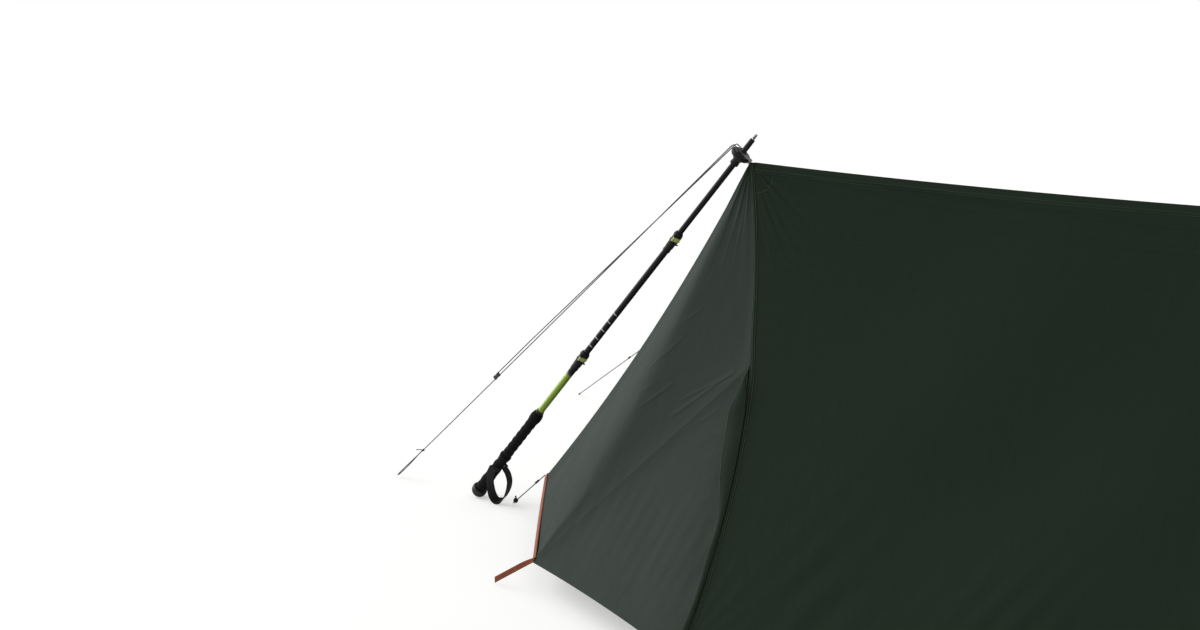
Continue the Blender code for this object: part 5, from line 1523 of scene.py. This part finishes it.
def lever(name, start, outer):
    """The lever's curved plate, thicker along its edges, with a ribbed thumb end, and its hinge barrel."""
    seat, middle, pivot = clamp_sizes(outer, start)
    inside, first = seat + GAP, -math.pi / 2 + math.radians(9)
    high = LEVER_HEIGHT / 2 - GAP
    turns = np.linspace(0, 1, 61)
    across = np.linspace(-1, 1, 13)
    narrow = 1 - 0.22 * rise(0.72, 0.98, turns) - 0.04 * (1 - rise(0, 0.10, turns))
    flare = 0.0018 * rise(0.72, 1, turns) + 0.0002 * crest(turns * 26, 1) * rise(0.80, 0.86, turns)
    thick = LEVER_THICK * (0.80 + 0.20 * np.abs(across) ** 4)
    outward = (inside + flare[:, None] + np.sqrt(np.clip(1 - np.abs(across) ** 10, 0, 1))[None, :]
               * thick[None, :])
    angle = (first + LEVER_ARC * turns)[:, None] + 0 * across
    z = middle + across[None, :] * high * narrow[:, None]
    outer_face = np.stack([outward * np.cos(angle), outward * np.sin(angle), z], -1)
    low = (inside + flare)[:, None] + 0 * across
    inner_face = np.stack([low * np.cos(angle), low * np.sin(angle), z], -1)
    points = np.stack([outer_face, inner_face]).reshape(-1, 3)
    plate = welded(mesh_from(name, on_axes(points), skin_faces(*outer_face.shape[:2])))
    section = softened([(PIN_RADIUS + GAP, middle - high), (BARREL_RADIUS, middle - high),
                        (BARREL_RADIUS, middle + high), (PIN_RADIUS + GAP, middle + high)], 0.0006)
    return settle(name, gather(plate, [pivot_part(section, pivot, 33, along=True)]), lime_plastic, 40)


def thumb_tab(name, start, outer, turn=math.radians(62), drop=0.0012, long=0.0092):
    """One of the two small black catches under the lever's free end, which a thumb pulls."""
    seat, middle, _ = clamp_sizes(outer, start)
    low = middle - LEVER_HEIGHT / 2 - EAR_HEIGHT - drop
    t = np.linspace(0, 1, 15)
    reach = seat - 0.0014 + (long + 0.0012 * np.sin(t * math.pi)) * t
    half = 0.0026 * (1 - 0.35 * t ** 3)
    height = 0.0017 * (1 - 0.4 * t ** 2)
    side, up = soft_square(np.linspace(0, math.tau, 21), 0.6)
    out, aside = spot(math.cos(turn), math.sin(turn), 0), spot(-math.sin(turn), math.cos(turn), 0)
    ring = (out * reach[:, None, None] + aside * (half[:, None] * side)[..., None]
            + spot(0, 0, 1) * (low + 0.0020 * t[:, None] + height[:, None] * up)[..., None])
    points = np.concatenate([ring.reshape(-1, 3), [ring[0].mean(0)], [ring[-1].mean(0) + out * 0.0003]])
    count, last = len(t) * 21, (len(t) - 1) * 21
    faces = grid_faces(len(t), 21) + [[count, k + 1, k] for k in range(20)]
    faces += [[count + 1, last + k, last + k + 1] for k in range(20)]
    return settle(name, welded(mesh_from(name, on_axes(points), faces)), black_plastic)


for number, start, outer, inner, body in ((1, LOCK_ONE, MIDDLE_RADIUS, LOWER_RADIUS, "{}_pole_middle"),
                                          (2, LOCK_TWO, UPPER_RADIUS, MIDDLE_RADIUS, "{}_pole_upper")):
    both_ends(f"pole_lock_{number}_body", lambda name: clamp(name, start, outer, inner),
              body, "black_plastic", f"pole_lock_{number}_clamp")
    both_ends(f"pole_lock_{number}_band", lambda name: lever(name, start, outer),
              "{}_pole_lock_" + f"{number}_lever", "lime_plastic", f"pole_lock_{number}_lever")
    both_ends(f"pole_lock_{number}_catch", lambda name: thumb_tab(name, start, outer), body, "black_plastic")
    both_ends(f"pole_lock_{number}_low_catch",
              lambda name: thumb_tab(name, start, outer, math.radians(20), 0.0056, 0.0062),
              body, "black_plastic")

# %% [markdown]
# The handle is moulded foam on the lime tube: a grip with soft finger swells, a sleeve of shallow waves
# that a hand slides down to, and a fat collar at its end. The knob under it is dark rubber.

# %% Knob and grip
GRIP_END = 0.152
FOAM_END = 0.290
COLLAR_END = 0.326
GRIP_RADIUS = 0.0166
FOAM_RADIUS = 0.0142
FOAM_RIBS = 6
KNOB_TOP = -KNOB_RADIUS * math.cos(math.pi * 8 / 9 * 0.68)


def knob(name):
    turns = np.linspace(0, math.pi * 0.60, 44)
    radius, height = KNOB_RADIUS * np.sin(turns), -KNOB_RADIUS * np.cos(turns)
    groove = 0.0007 * bell(turns, 0.62, 0.035) + 0.0008 * bell(turns, 1.45, 0.030)
    outer = np.stack([radius * (1 - groove / KNOB_RADIUS), height * (1 - groove / KNOB_RADIUS)], -1)
    low = outer[-1]
    rim = [(low[0] - 0.0006, KNOB_TOP - 0.0014), (low[0] - 0.0022, KNOB_TOP), (0.0, KNOB_TOP)]
    return turned(name, np.concatenate([outer, rim]), knob_rubber)


def grip(name):
    low = KNOB_TOP + GAP
    swell = [(0.0, 0.90), (0.05, 0.955), (0.10, 0.98), (0.22, 0.92), (0.34, 0.97), (0.46, 0.90),
             (0.58, 0.93), (0.70, 0.86), (0.81, 0.815), (0.89, 0.90), (0.955, 1.0), (0.985, 0.97),
             (1.0, 0.86)]
    share = np.linspace(0, 1, 110)
    curve = smooth_path([(x, y, 0) for x, y in swell], 12)
    width = np.interp(share, curve[:, 0], curve[:, 1])
    outer = np.stack([GRIP_RADIUS * width, low + (GRIP_END - low) * share], -1)
    bore = UPPER_RADIUS + GAP
    inside = [(bore, GRIP_END), (bore, 0.020 - GAP), (0.0040, 0.020 - GAP), (0.0040, low)]

    def fingers(radius, height, angle):
        share = (height - low) / (GRIP_END - low)
        front = 0.5 - 0.5 * np.cos(angle)
        wave = (0.0011 * np.cos(share * math.tau * 4.2) * front * rise(0.05, 0.2, share)
                * (1 - rise(0.72, 0.84, share)))
        panel = (0.0005 * rise(0.90, 0.97, np.abs(np.sin(angle))) * rise(0.10, 0.14, share)
                 * (1 - rise(0.66, 0.70, share)))
        return np.where(radius > GRIP_RADIUS * 0.7, wave - panel, 0)
    return turned(name, [*outer, *inside], black_foam, sides=72, closed=True, swell=fingers)


def foam(name):
    low, bore = GRIP_END + GAP, UPPER_RADIUS + GAP
    height = np.linspace(low, COLLAR_END, 170)
    share = (height - low) / (FOAM_END - low)
    rib = FOAM_RADIUS - 0.0010 * (0.5 + 0.5 * np.cos(math.tau * FOAM_RIBS * share))
    rib -= 0.0004 * (bell(share * FOAM_RIBS % 1, 0, 0.07) + bell(share * FOAM_RIBS % 1, 1, 0.07))
    step = np.clip((height - FOAM_END) / (COLLAR_END - FOAM_END), 0, 1)
    collar = (FOAM_RADIUS + 0.0024 * np.sin(math.pi * np.clip(step * 1.12 - 0.12, 0, 1)) ** 0.7
              - 0.0016 * step ** 3)
    radius = np.where(height > FOAM_END, collar, rib)
    radius = np.where(height > COLLAR_END - 0.0012,
                      radius - 0.0006 * (height - COLLAR_END + 0.0012) / 0.0012, radius)
    return turned(name, [*np.stack([radius, height], -1), (bore, COLLAR_END), (bore, low)],
                  black_foam, sides=64, closed=True)


both_ends("pole_knob_rubber", knob, "{}_pole_upper", "knob_rubber", "pole_knob")
both_ends("pole_grip_foam", grip, "{}_pole_upper", "black_foam", "pole_grip")
both_ends("pole_sleeve_foam", foam, "{}_pole_upper", "black_foam", "pole_foam_sleeve")
NECK_END = COLLAR_END + 0.009
neck = [(UPPER_RADIUS + 0.0001, COLLAR_END + GAP), (UPPER_RADIUS + 0.0022, COLLAR_END + GAP),
        (UPPER_RADIUS + 0.0019, NECK_END - 0.002), (UPPER_RADIUS + 0.0014, NECK_END),
        (UPPER_RADIUS + 0.0001, NECK_END)]
both_ends("pole_neck_ring", lambda name: turned(name, softened(neck, 0.0004), black_plastic, closed=True),
          "{}_pole_upper", "black_plastic")

# %% [markdown]
# The basket keeps the pole from sinking in snow. It is a dark dish on a wide hub, with a liner that
# ends in a notched lip; the liner's pale grey is painted light on the dish's far inner wall. Both are cut
# the same way: a ring of rounded cutters stands round the pole's axis, and a Boolean modifier, applied
# at once, takes them away.

# %% The window cutter
def cutter_ring(name, count, reach, deep, wide, low, high):
    """Rounded upright prisms on a circle round the pole, as one mesh in the pole's own axes."""
    x, y = soft_square(np.linspace(0, math.tau, 25), 2 / 3)
    x, y = x * deep / 2 + reach, y * wide / 2
    points, faces = [], []
    for turn in (np.arange(count) + 0.5) * math.tau / count:
        first = len(points)
        across = x * math.cos(turn) - y * math.sin(turn)
        aside = x * math.sin(turn) + y * math.cos(turn)
        points += [(a, b, z) for z in (low, high) for a, b in zip(across, aside)]
        faces += grid_faces(2, 25, first)
        faces += [list(range(first, first + 24)), list(range(first + 48, first + 24, -1))]
    return settle(name, welded(mesh_from(name, on_axes(points), faces)), black_plastic)


def cut_windows(name, profile, material, *rings):
    """A turned plate on the pole with rings of windows cut through it."""
    plate = turned(name, profile, material, sides=96, closed=True)
    cutters = [cutter_ring(f"{name}_cutter_{k}", *ring) for k, ring in enumerate(rings)]
    return cut_away(plate, cutters, material, 35)


# %% Basket, ferrule and tip
FERRULE_END = BASKET_PLATE + 0.043
POLE_LENGTH = FERRULE_END + 0.015
BOSS_RADIUS = 0.0104
LIP_TOP = BASKET_PLATE + BASKET_THICK
# how many, how far out, how deep and wide, and from which height to which
NOTCHES = (22, 0.0200, 0.0034, 0.0022, BASKET_PLATE + 0.0010, BASKET_PLATE + 0.01)


def basket(name):
    """The cone: a hub, a round belly that is widest under the lip, and a boss that the tab rests on."""
    bore, deep, slope = LOWER_RADIUS + GAP, BASKET_PLATE - BASKET_DEPTH, BASKET_PLATE - 0.0052
    outline = [(bore, HUB_START), (bore + 0.0034, HUB_START), (bore + 0.0034, HUB_START + 0.0065),
               (bore + 0.0024, HUB_START + 0.0078), (bore + 0.0024, HUB_START + 0.0105),
               (bore + 0.0042, deep - 0.0040), (bore + 0.0062, deep - 0.0004), (0.0178, deep + 0.0012),
               (0.0222, deep + 0.0040), (0.0246, deep + 0.0078), (BASKET_RADIUS, deep + 0.0105),
               (0.0240, BASKET_PLATE + 0.0004), (0.0212, LIP_TOP), (0.0203, LIP_TOP),
               (0.0197, LIP_TOP - 0.0010), (0.0125, slope), (BOSS_RADIUS, slope),
               (BOSS_RADIUS, LIP_TOP - 0.0002), (bore, LIP_TOP)]
    return cut_windows(name, softened(outline, 0.0014), basket_plastic, NOTCHES)


def basket_top(name):
    """The liner: the cone's inner slope and its notched lip."""
    low, high = BASKET_PLATE - 0.0049, BASKET_PLATE - 0.0043
    outline = [(BOSS_RADIUS + GAP, low), (0.0124, low), (0.0196, LIP_TOP - 0.0006),
               (0.0203, LIP_TOP + 0.0003), (0.0208, LIP_TOP + 0.0003), (0.0206, LIP_TOP + 0.0008),
               (0.0199, LIP_TOP + 0.0009), (0.0190, LIP_TOP - 0.0003), (0.0121, high),
               (BOSS_RADIUS + GAP, high)]
    return cut_windows(name, softened(outline, 0.0003), rim_plastic, NOTCHES)


def ferrule(name):
    start = BASKET_PLATE + BASKET_THICK
    outline = [(0.0, LOWER_END - 0.030), (LOWER_RADIUS - 0.0010, LOWER_END - 0.030),
               (LOWER_RADIUS - 0.0010, LOWER_END + GAP), (LOWER_RADIUS, LOWER_END + GAP),
               (LOWER_RADIUS, start + 0.0010), (0.0067, start + 0.0042), (0.0065, start + 0.0130),
               (0.0062, start + 0.0136), (0.0062, start + 0.0150), (0.0065, start + 0.0158),
               (0.0062, FERRULE_END - 0.0026), (0.0064, FERRULE_END - 0.0020), (0.0058, FERRULE_END),
               (0.0, FERRULE_END)]
    return turned(name, softened(outline, 0.0007), black_plastic, sides=40)


def tip(name):
    start = FERRULE_END + GAP
    rings = [(0.0034 - 0.0007 * (k % 2), start + 0.0022 + 0.0013 * k) for k in range(6)]
    outline = [(0.0, start), (0.0032, start), (0.0036, start + 0.0008), *rings,
               (0.0026, POLE_LENGTH - 0.0042), (0.0033, POLE_LENGTH - 0.0016), (0.0031, POLE_LENGTH),
               (0.0019, POLE_LENGTH), (0.0, POLE_LENGTH - 0.0014)]
    return turned(name, softened(outline, 0.0003), tip_steel, sides=32)


def tip_ring(name, place, radius):
    section = [(0.0020, place), (radius, place), (radius, place + 0.0016), (0.0020, place + 0.0016)]
    return turned(name, softened(section, 0.0004), black_plastic, sides=32, closed=True)


both_ends("pole_basket_cone", basket, "tent", "basket_plastic", "pole_basket")
both_ends("pole_basket_plate", basket_top, "tent", "basket_plastic")
both_ends("pole_ferrule_nose", ferrule, "tent", "black_plastic", "pole_ferrule")
both_ends("pole_tip_pin", tip, "tent", "tip_steel", "pole_tip")
both_ends("pole_tip_low_ring", lambda name: tip_ring(name, FERRULE_END + 0.0045, 0.0037),
          "tent", "black_plastic")
both_ends("pole_tip_high_ring", lambda name: tip_ring(name, POLE_LENGTH - 0.0050, 0.0034),
          "tent", "black_plastic")

# %% [markdown]
# A webbing tab with a round hole joins each apex to its pole: it drops over the ferrule and lies on the
# basket. The hole's edge is bound with close stitches, as a buttonhole is, and the strip is folded down
# over the basket's rim, where it is sewn to the fly. Its faces run outward from the hole to the edges.

# %% Apex tabs
def shell(name, points, faces, normals, thick, material, uvs):
    """A closed skin from one layer of faces, its open edges joined to a second layer a thickness behind."""
    count, used = len(points), set()
    for face in faces:
        used.update(zip(face, face[1:] + face[:1]))
    rims = [(a, b) for face in faces for a, b in zip(face, face[1:] + face[:1]) if (b, a) not in used]
    faces = faces + [[k + count for k in face[::-1]] for face in faces]
    faces += [[b, a, a + count, b + count] for a, b in rims]
    both = np.concatenate([points, points - normals * thick])
    return settle(name, mesh_from(name, both, faces, np.concatenate([uvs, uvs])), material)


TAB_LEG = 0.0105
TAB_HALF = (TAPE_WIDTH + 0.003) / 2
tab_seat = BASKET_PLATE + BASKET_THICK + GAP
tab_rim = BASKET_RADIUS + TAB_CLEARANCE
tab_heel = LOWER_RADIUS + 0.0028
tab_top = tab_seat + TAB_THICK * 0.85
hole = LOWER_RADIUS + GAP


def apex_tab(name):
    side = TAB_HALF
    fold = [(side, y) for y in np.linspace(-side, side, 13)]
    heel = [(-tab_heel * math.sin(a), tab_heel * math.cos(a)) for a in np.linspace(0, math.pi, 25)]
    heel = [(x, np.clip(y, -side, side)) for x, y in heel]
    top = [(x, side) for x in np.linspace(side, 0, 8)[1:-1]]
    low = [(x, -side) for x in np.linspace(0, side, 8)[1:-1]]
    edge = np.array(fold + top + heel + low)
    angles = np.arctan2(edge[:, 1], edge[:, 0])
    steps = np.linspace(0, 1, 9) ** 1.3
    inner = hole * np.stack([np.cos(angles), np.sin(angles)], -1)
    flat = inner[None] * (1 - steps)[:, None, None] + edge[None] * steps[:, None, None]
    crown = 0.00025 * np.sin(math.pi * steps)[:, None] + 0 * flat[..., 0]
    ring = np.concatenate([flat, (tab_top + crown)[..., None]], -1).reshape(-1, 3)
    faces = grid_faces(len(steps), len(edge), across=True)
    up = np.tile(spot(0, 0, 1), (len(ring), 1))
    bend, reach = 0.0012, tab_rim + TAB_THICK - side
    run = [(side + reach * k / 10 - bend * (k == 10), 0.0, 0.0) for k in range(1, 11)]
    turn = [(tab_rim + TAB_THICK - bend + bend * math.sin(a), -bend + bend * math.cos(a), a)
            for a in np.linspace(0.2, math.pi / 2, 6)]
    leg = [(tab_rim + TAB_THICK, -bend - (TAB_LEG - bend - 0.001) * k / 7, math.pi / 2) for k in range(1, 8)]
    rows, outs = [], []
    for x, drop, tilt in run + turn + leg:
        rows.append([(x, y, tab_top + drop) for y in np.linspace(-side, side, 13)])
        outs.append([(math.sin(tilt), 0, math.cos(tilt))] * 13)
    start = len(ring)
    seam = [(len(steps) - 1) * len(edge) + k for k in range(13)]
    strip = grid_faces(len(rows), 13, start)
    strip += [[seam[k], seam[k + 1], start + k + 1, start + k] for k in range(12)]
    points = np.concatenate([ring, np.array(rows).reshape(-1, 3)])
    normals = np.concatenate([up, np.array(outs).reshape(-1, 3)])
    uvs = np.stack([points[:, 1], points[:, 0] - points[:, 2]], -1)
    ways = []
    for a, b, c, _ in (points[faces[0]], points[strip[0]]):
        ways.append(np.cross(b - a, c - b)[2])
    if ways[0] * ways[1] < 0:
        strip = [face[::-1] for face in strip]
    turned_normals = on_axes(normals) - on_axes(np.zeros(3))
    return shell(name, on_axes(points), faces + strip, turned_normals, TAB_THICK * 0.85, apex_webbing, uvs)


both_ends("apex_tab_webbing", apex_tab, "tent", "apex_webbing", "apex_tab")
angle = np.linspace(0, math.tau, 40)
for end in ENDS:
    binding = on_axes(np.stack([(hole + 0.0009) * np.cos(angle), (hole + 0.0009) * np.sin(angle),
                                0 * angle + tab_seat + TAB_THICK * 0.95], -1))
    sew(f"{end}_apex_tab_hole_stitches", [at_end(end, binding)], "tent", "apex_webbing",
        pitch=0.0011, length=0.0018, thickness=0.00035)
    rows = [on_axes([(x, y, tab_seat + TAB_THICK * 0.88) for y in np.linspace(-0.006, 0.006, 9)])
            for x in (0.0150, 0.0165, 0.0235)]
    sew(f"{end}_apex_tab_bar_stitches", [at_end(end, row) for row in rows], "tent", "apex_webbing",
        pitch=0.0016, length=0.0014)

# %% [markdown]
# The wrist strap is a loop of flat webbing that hangs from the grip. The strap's middle line and the
# turn of its width are listed point by point, as the hanging loop shows them.

# %% Wrist straps
STRAP_WIDTH = 0.024
STRAP_THICK = 0.0016
STRAP_PLACE = 0.116
STRAP_FRONT = 0.104
STRAP_LIFT = 0.0015
STRAP_CLEARANCE = 0.0028
front = on_pole(STRAP_FRONT) - spot(0, GRIP_RADIUS + STRAP_CLEARANCE + STRAP_THICK / 2, 0)
back = on_pole(STRAP_PLACE) + STEP_OUT * (GRIP_RADIUS * 0.84 + GAP * 1.5)
strap_floor = STRAP_THICK / 2 + STRAP_LIFT
strap_run = [(0.0575, -0.0205, 0.91, 0), (0.0535, -0.0220, 0.66, 0), (0.0550, -0.0225, 0.43, 10),
             (0.0590, -0.0215, 0.23, 30), (0.0670, -0.0195, 0.095, 60), (0.0760, -0.0170, 0.065, 80),
             (0.0860, -0.0145, 0.11, 82), (0.0960, -0.0130, 0.22, 84), (0.1060, -0.0120, 0.44, 84),
             (0.1085, -0.0090, 0.66, 86), (0.1010, -0.0050, 0.84, 88), (0.0906, -0.0015, 0.94, 90)]
strap_tilt = [0, 0, 0, 0, 0.15, 0.45, 0.62, 0.60, 0.35, 0.15, 0, 0, 0, 0]
middle = np.array([front, *((FOOT[0] + step, out, strap_floor + share * (back[2] - strap_floor))
                            for step, out, share, _ in strap_run), back])
turns = np.radians([0, *(turn for *_, turn in strap_run), 90])
line = smooth_path(middle, 9)
turn, tilt = smooth_path(np.stack([turns, strap_tilt, 0 * turns], -1), 9)[:, :2].T
along = unit(np.gradient(line, axis=0))
wide = square_to(np.stack([np.cos(turn), np.sin(turn), tilt], -1), along)
flat = np.cross(along, wide)
across = np.linspace(-1, 1, 17)
furrow = 1 - 0.22 * bell(np.abs(across), 0.80, 0.06)
deep = STRAP_THICK / 2 * np.clip(1 - np.abs(across) ** 14, 0.12, 1) * furrow
outer = line[:, None] + wide[:, None] * (across * STRAP_WIDTH / 2)[None, :, None]
face_out = outer + flat[:, None] * deep[None, :, None]
face_in = outer - flat[:, None] * deep[None, :, None]
uv = np.stack(np.broadcast_arrays((across * STRAP_WIDTH / 2)[None, :], travel(line)[:, None]), -1)
points, uvs = np.stack([face_out, face_in]).reshape(-1, 3), np.stack([uv, uv]).reshape(-1, 2)
faces = skin_faces(len(line), len(across))
STRAP_LINES = (2, 14)
for end in ENDS:
    loop = settle(f"{end}_wrist_strap_webbing",
                  mesh_from("strap", at_end(end, points), faces, uvs), strap_webbing)
    rows = [at_end(end, layer[:, k] + side * flat * 0.0001)
            for k in STRAP_LINES for layer, side in ((face_out, 1), (face_in, -1))]
    sewn = run_nodes(f"{end}_wrist_strap_stitches", rows, strap_thread, Pitch=0.0034, Length=0.0025,
                     Thickness=0.00030)
    for piece in (loop, sewn):
        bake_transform(piece)
    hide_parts(f"{end}_pole_wrist_strap")


# %% The strap's block and tail
def rounded_block(name, centre, axes, sizes, material, power=5.0, taper=(1.0, 1.0)):
    """A block with soft edges: superellipse rings stacked along its last axis, narrower towards its top."""
    t = np.linspace(-1, 1, 26)
    t = np.sign(t) * (1 - (1 - np.abs(t)) ** 1.6)
    swell = np.clip(1 - np.abs(t) ** (power * 1.6), 0, 1) ** (1 / power)
    side, up = soft_square(np.linspace(0, math.tau, 49), 2 / power)
    share = (t + 1) / 2
    x = sizes[0] / 2 * (swell * (1 - share + share * taper[0]))[:, None] * side
    y = sizes[1] / 2 * (swell * (1 - share + share * taper[1]))[:, None] * up
    z = (t * sizes[2] / 2)[:, None] + 0 * side
    points = centre + x[..., None] * axes[0] + y[..., None] * axes[1] + z[..., None] * axes[2]
    mesh = welded(mesh_from(name, points.reshape(-1, 3), grid_faces(26, 49)), 1e-5)
    return settle(name, mesh, material, 45)


def strap_block(name):
    """The wedge under the strap's front end, which fills the space between strap and grip."""
    centre = front + spot(0.0010, STRAP_THICK / 2 + 0.0034, -0.0046)
    return rounded_block(name, centre, (spot(1, 0, 0), spot(0, 1, 0), spot(0, 0, 1)),
                         (0.0215, 0.0062, 0.0105), black_plastic)


def strap_tail(name):
    """The strap's spare end, a short folded tail that stands off the grip's underside."""
    centre = on_pole(0.1245) + STEP_OUT * (GRIP_RADIUS * 0.84 + 0.0035)
    return rounded_block(name, centre, (spot(0, 1, 0), STEP_UP, STEP_OUT),
                         (0.0130, 0.0030, 0.0120), strap_webbing, taper=(0.92, 0.7))


both_ends("wrist_strap_block", strap_block, "{}_pole_upper", "black_plastic")
both_ends("wrist_strap_tail", strap_tail, "{}_pole_upper", "strap_webbing")

# %% [markdown]
# Small moulded runners tighten the lines. Each has a waist for finger and thumb, ribs at its ends, and a
# bore for each strand. The bores are cut with a Boolean modifier, which is applied at once.

# %% Line runners
SLIDER_SIZE = (0.0220, 0.0070, 0.0135)
ADJUSTER_SIZE = (0.0140, 0.0052, 0.0066)
BORE = GUY_DIAMETER / 2 + 0.0005


def bored(made, material, lines, radius):
    """Cuts a straight round bore through a piece along each pair of points."""
    cutters = [tube(f"{made.name}_bore_{k}", start + (end - start) * np.linspace(0, 1, 3)[:, None], radius,
                    material, 20) for k, (start, end) in enumerate(lines)]
    return cut_away(made, cutters, material, 40)


def runner(name, size, bores, place, ahead, side, lift, material):
    """A waisted block, ribbed at its ends, with its bores along the line."""
    t = np.linspace(-1, 1, 61)
    end_cap = np.clip(1 - np.abs(t) ** 16, 0, 1) ** 0.25
    waist = 1 - 0.20 * np.cos(t * math.pi / 2) ** 2
    ribs = (1 + 0.035 * np.cos(t * math.tau * 5) * rise(0.45, 0.60, np.abs(t))
            * (1 - rise(0.90, 0.98, np.abs(t))))
    aside, up = soft_square(np.linspace(0, math.tau, 49), 0.62)
    centre = place + lift * (size[2] / 2 - size[1] / 2)
    half_wide = size[1] / 2 * (0.93 * ribs * end_cap * (0.6 + 0.4 * waist))
    half_high = size[2] / 2 * (0.96 * end_cap * waist)
    points = (centre + ahead * (t * size[0] / 2)[:, None, None]
              + side * (half_wide[:, None] * aside)[..., None]
              + lift * (half_high[:, None] * up)[..., None])
    mesh = welded(mesh_from(name, points.reshape(-1, 3), grid_faces(61, 49)), 1e-6)
    made = settle(name, mesh, material)
    lines = [(place + lift * h - ahead * size[0], place + lift * h + ahead * size[0]) for h in bores]
    return bored(made, material, lines, BORE)


corner_place = corner_start + (corner_peg - corner_start) * 0.24
side_place = side_peg + (side_start - side_peg) * 0.325
# name, size, heights of its bores, its place, what it points at and its finish
RUNNERS = [("guy_slider", SLIDER_SIZE, (0.0, STRAND_PITCH), GUY_SLIDER, GUY_RIM, slider_plastic),
           ("corner_adjuster", ADJUSTER_SIZE, (0.0,), corner_place, corner_start, black_plastic),
           ("side_guy_adjuster", ADJUSTER_SIZE, (0.0,), side_place, side_start, black_plastic)]
for base, size, bores, place, aim, material in RUNNERS:
    ahead, side, lift = line_axes(place, aim)
    both_ends(f"{base}_runner", lambda name: runner(name, size, bores, place, ahead, side, lift, material),
              "{}_" + base, "slider_plastic", base)

# %% [markdown]
# The zip's slider is two small plates joined at the nose, with a pull that lies back along the teeth.

# %% Zip sliders
ZIP_SLIDER_SHARE = 0.955
slider_at = seam_line(ZIP_SLIDER_SHARE)
zip_along = unit(seam_line(ZIP_SLIDER_SHARE - 0.01) - slider_at)
zip_out = plane_normal(APEX, opposite(APEX), SIDE) + plane_normal(ZIP_TOP, CHEEK, SIDE)
zip_out = unit(zip_out - zip_along * (zip_out @ zip_along))
zip_side = np.cross(zip_out, zip_along)


def zip_body(name):
    """Both plates, the post between them and the pull, in one closed piece for each."""
    lift, thick = GAP * 4, 0.0009
    made = [rounded_block(f"{name}_{label}", slider_at + zip_out * (low + thick / 2),
                          (zip_side, zip_out, zip_along), (0.0072, thick, 0.0106), zip_metal, 4.0,
                          (0.72, 1.0)) for label, low in (("low", lift), ("top", lift + 0.0019))]
    made.append(rounded_block(f"{name}_post", slider_at + zip_out * (lift + 0.0014) + zip_along * 0.0022,
                              (zip_side, zip_along, zip_out), (0.0022, 0.0030, 0.0016), zip_metal, 3.0))
    middle = slider_at - zip_along * 0.0125 + zip_out * (lift + 0.0030 - 0.0007)
    pull = rounded_block(f"{name}_pull", middle, (zip_side, zip_out, zip_along), (0.0048, 0.0012, 0.0198),
                         zip_metal, 4.0, (0.80, 1.0))
    eye = slider_at - zip_along * 0.0196
    made.append(bored(pull, zip_metal, [(eye - zip_out * 0.01, eye + zip_out * 0.02)], 0.0012))
    return settle(name, gather(bpy.data.meshes.new(name), [thing.data for thing in made]), zip_metal, 40)


both_ends("zip_slider_plates", zip_body, "{}_zip_slider", "zip_metal", "zip_slider")

# %% [markdown]
# The stage is a plain pale floor under soft studio light. To the camera the floor's light side reads as
# white paper, while its shading still keeps the tent's own shadow.

# %% Floor
FLOOR_HALF = 14.0
PAPER_GLOW = 0.42
floor = bpy.data.meshes.new("floor")
corners = [(x * FLOOR_HALF, y * FLOOR_HALF, 0) for x, y in ((-1, -1), (1, -1), (1, 1), (-1, 1))]
floor.from_pydata(corners, [], [(0, 1, 2, 3)])
ground = bpy.data.objects.new("studio_floor", floor)
bpy.context.scene.collection.objects.link(ground)
paper = bpy.data.materials.new("paper")
paper.use_nodes = True
tree = paper.node_tree
seen = node(tree, "ShaderNodeLightPath").outputs["Is Camera Ray"]
feed(tree.nodes["Principled BSDF"], {
    "Roughness": 0.9, "Base Color": (0.82, 0.82, 0.81, 1), "Emission Color": (1, 1, 0.99, 1),
    "Emission Strength": sums(tree, "MULTIPLY", seen, PAPER_GLOW)})
floor.materials.append(paper)

# %% Light
SKY_LEVEL = 0.42
sky = bpy.data.worlds.new("studio")
bpy.context.scene.world = sky
sky.use_nodes = True
tree = sky.node_tree
tree.nodes.clear()
seen = node(tree, "ShaderNodeLightPath").outputs["Is Camera Ray"]
plain, white = (node(tree, "ShaderNodeBackground", {"Color": (1, 1, 1, 1), "Strength": strength})
                for strength in (SKY_LEVEL, 1.0))
mixed = node(tree, "ShaderNodeMixShader", {0: seen, 1: plain.outputs[0], 2: white.outputs[0]})
node(tree, "ShaderNodeOutputWorld", {0: mixed.outputs[0]})


def sun(name, aim, strength, spread):
    """Parallel light, which reaches the whole floor alike. aim is where it comes from, spread its width."""
    light = bpy.data.lights.new(name, "SUN")
    light.energy = strength
    light.angle = math.radians(spread)
    made = bpy.data.objects.new(name, light)
    bpy.context.scene.collection.objects.link(made)
    made.matrix_world = Vector(aim).to_track_quat("Z", "Y").to_matrix().to_4x4()


sun("window", (-1.0, -0.10, 0.50), 2.2, 60)
bpy.context.scene.view_settings.view_transform = "Standard"
